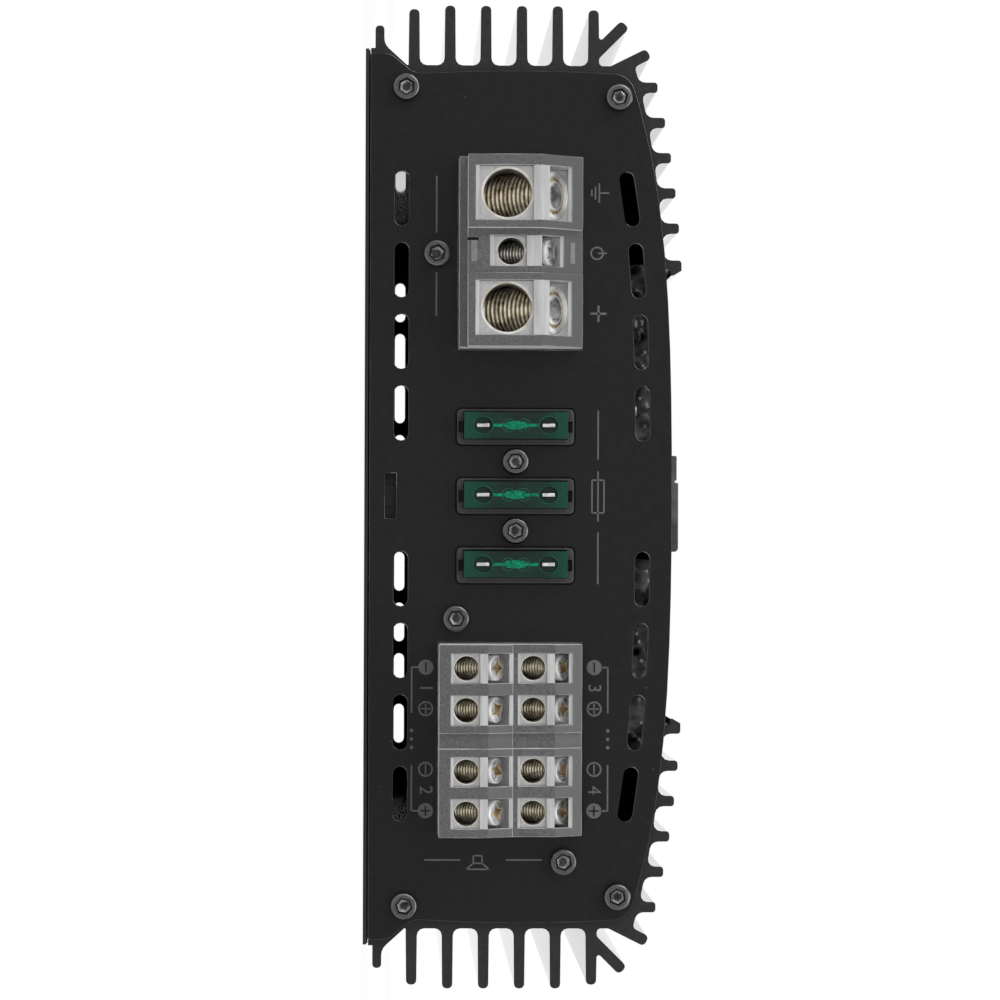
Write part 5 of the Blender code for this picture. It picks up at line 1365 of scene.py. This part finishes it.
def printBack():
    face, size, light = marks["back"], backMarks, []
    near, short, far = size["scale"]
    aside, below = size["ends"]
    above, tall = size["switchText"]
    for node in nodes:
        if not node.endswith(("_knob", "_switch")):
            continue
        low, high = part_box(node)
        x, z = (low.x + high.x) / 2, (low.z + high.z) / 2
        if node.endswith("_knob"):
            for step in range(11):
                angle = math.radians(240 - 30 * step)
                ray, middle = Vector((-math.cos(angle), math.sin(angle))), Vector((x, z))
                end = middle + ray * (far if step % 5 == 0 else short)
                light.append(printLine(middle + ray * near, end, face, marks["fine"]))
            for number, side in (("0", aside), ("10", -aside)):
                light.append(printText(number, (x + side, z - below), size["endText"], face))
        else:
            for number, side in (("1", 1), ("0", 0), ("2", -1)):
                at = x + side * size["switchStep"]
                light.append(printText(number, (at, z + above), tall, face))
                start, end = size["switchTick"]
                light.append(printLine((at, z + start), (at, z + end), face, marks["fine"]))
    middle, (across, up) = middleOf("rca_block"), size["jack"]
    for number, column, level in (("1", 1, 1), ("2", -1, 1), ("3", 1, -1), ("4", -1, -1)):
        place = (middle.x + column * across, middle.z + level * up)
        light.append(printText(number, place, marks["text"], face))
    middle = middleOf("indicator_lens")
    light.append(printRing((middle.x, middle.z), size["lens"], marks["fine"], face))
    setPrint("back_print", light, "printGrey", "input_panel")
    print("back marks")


# pieces inside keep the CAD form
insideFinish = {
    "circuit_board": "boardGreen", "power_transformer": "windingCopper", "filter_capacitor": "canSleeve",
    "transistor_bank_left": "bankAluminium", "transistor_bank_right": "bankAluminium",
}


def finishInside():
    for node, finish in insideFinish.items():
        for slot in nodes[node].material_slots:
            slot.material = finishes[finish]
    print("inside finished")


# studio: a white room, a pale floor and three round lamps, each with its place, size and power
studio = {
    "fill": 0.55, "floor": 0.86, "floorWhite": 0.95, "floorSize": 8, "floorLevel": -0.0002,
    "aim": (0, -0.05, 0.03),
    "lamps": (((-0.9, -1.0, 0.7), 0.9, 9.0), ((0.2, -0.9, 1.1), 1.0, 7.0), ((0.3, 1.1, 0.9), 1.0, 7.0)),
}


def isSeen(tree):  # camera, glossy and transmission rays see the white background
    path = addNode(tree, "LightPath").outputs
    direct = maths(tree, "MAXIMUM", path["Is Camera Ray"], path["Is Glossy Ray"])
    return maths(tree, "MAXIMUM", direct, path["Is Transmission Ray"])


def makeWorld():
    world = bpy.data.worlds.new("whiteRoom")
    bpy.context.scene.world = world
    world.use_nodes = True
    tree = world.node_tree
    fill, white = tree.nodes["Background"], addNode(tree, "Background")
    for background, strength in ((fill, studio["fill"]), (white, 1.0)):
        background.inputs["Color"].default_value = (1, 1, 1, 1)
        background.inputs["Strength"].default_value = strength
    mix = addNode(tree, "MixShader", isSeen(tree), fill.outputs[0], white.outputs[0])
    feed(tree, tree.nodes["World Output"].inputs["Surface"], mix.outputs[0])


def makeFloor():
    add, level = bpy.ops.mesh.primitive_plane_add, studio["floorLevel"]
    floor = settle(added("studioFloor", add, size=studio["floorSize"], location=(0, 0, level)))
    pale = bpy.data.materials.new("paleFloor")
    pale.use_nodes = True
    tree = pale.node_tree
    shader = tree.nodes["Principled BSDF"]
    shader.inputs["Base Color"].default_value = (studio["floor"],) * 3 + (1,)
    shader.inputs["Roughness"].default_value = 0.9
    shader.inputs["Specular IOR Level"].default_value = 0.1
    glow = addNode(tree, "Emission")
    glow.inputs["Strength"].default_value = 1.0
    share = maths(tree, "MULTIPLY", isSeen(tree), studio["floorWhite"])
    mix = addNode(tree, "MixShader", share, shader.outputs[0], glow.outputs[0])
    feed(tree, tree.nodes["Material Output"].inputs["Surface"], mix.outputs[0])
    floor.data.materials.append(pale)


def makeStudio():
    makeWorld()
    makeFloor()
    for place, size, power in studio["lamps"]:
        bpy.ops.object.light_add(type="AREA", location=place)
        lamp = bpy.context.active_object
        lamp.data.shape = "DISK"
        lamp.data.size = size
        lamp.data.energy = power
        lamp.rotation_euler = (Vector(studio["aim"]) - Vector(place)).to_track_quat("-Z", "Y").to_euler()
    bpy.context.scene.view_settings.view_transform = "Standard"
    print("studio set")


dressBody()
fitBehindPanel()
fitPanelScrews()
fitClamps()
dressHousings()
fitFuses()
fitJacks()
fitKnobs()
fitSwitchesAndLens()
printFront()
printBack()
finishInside()
makeStudio()
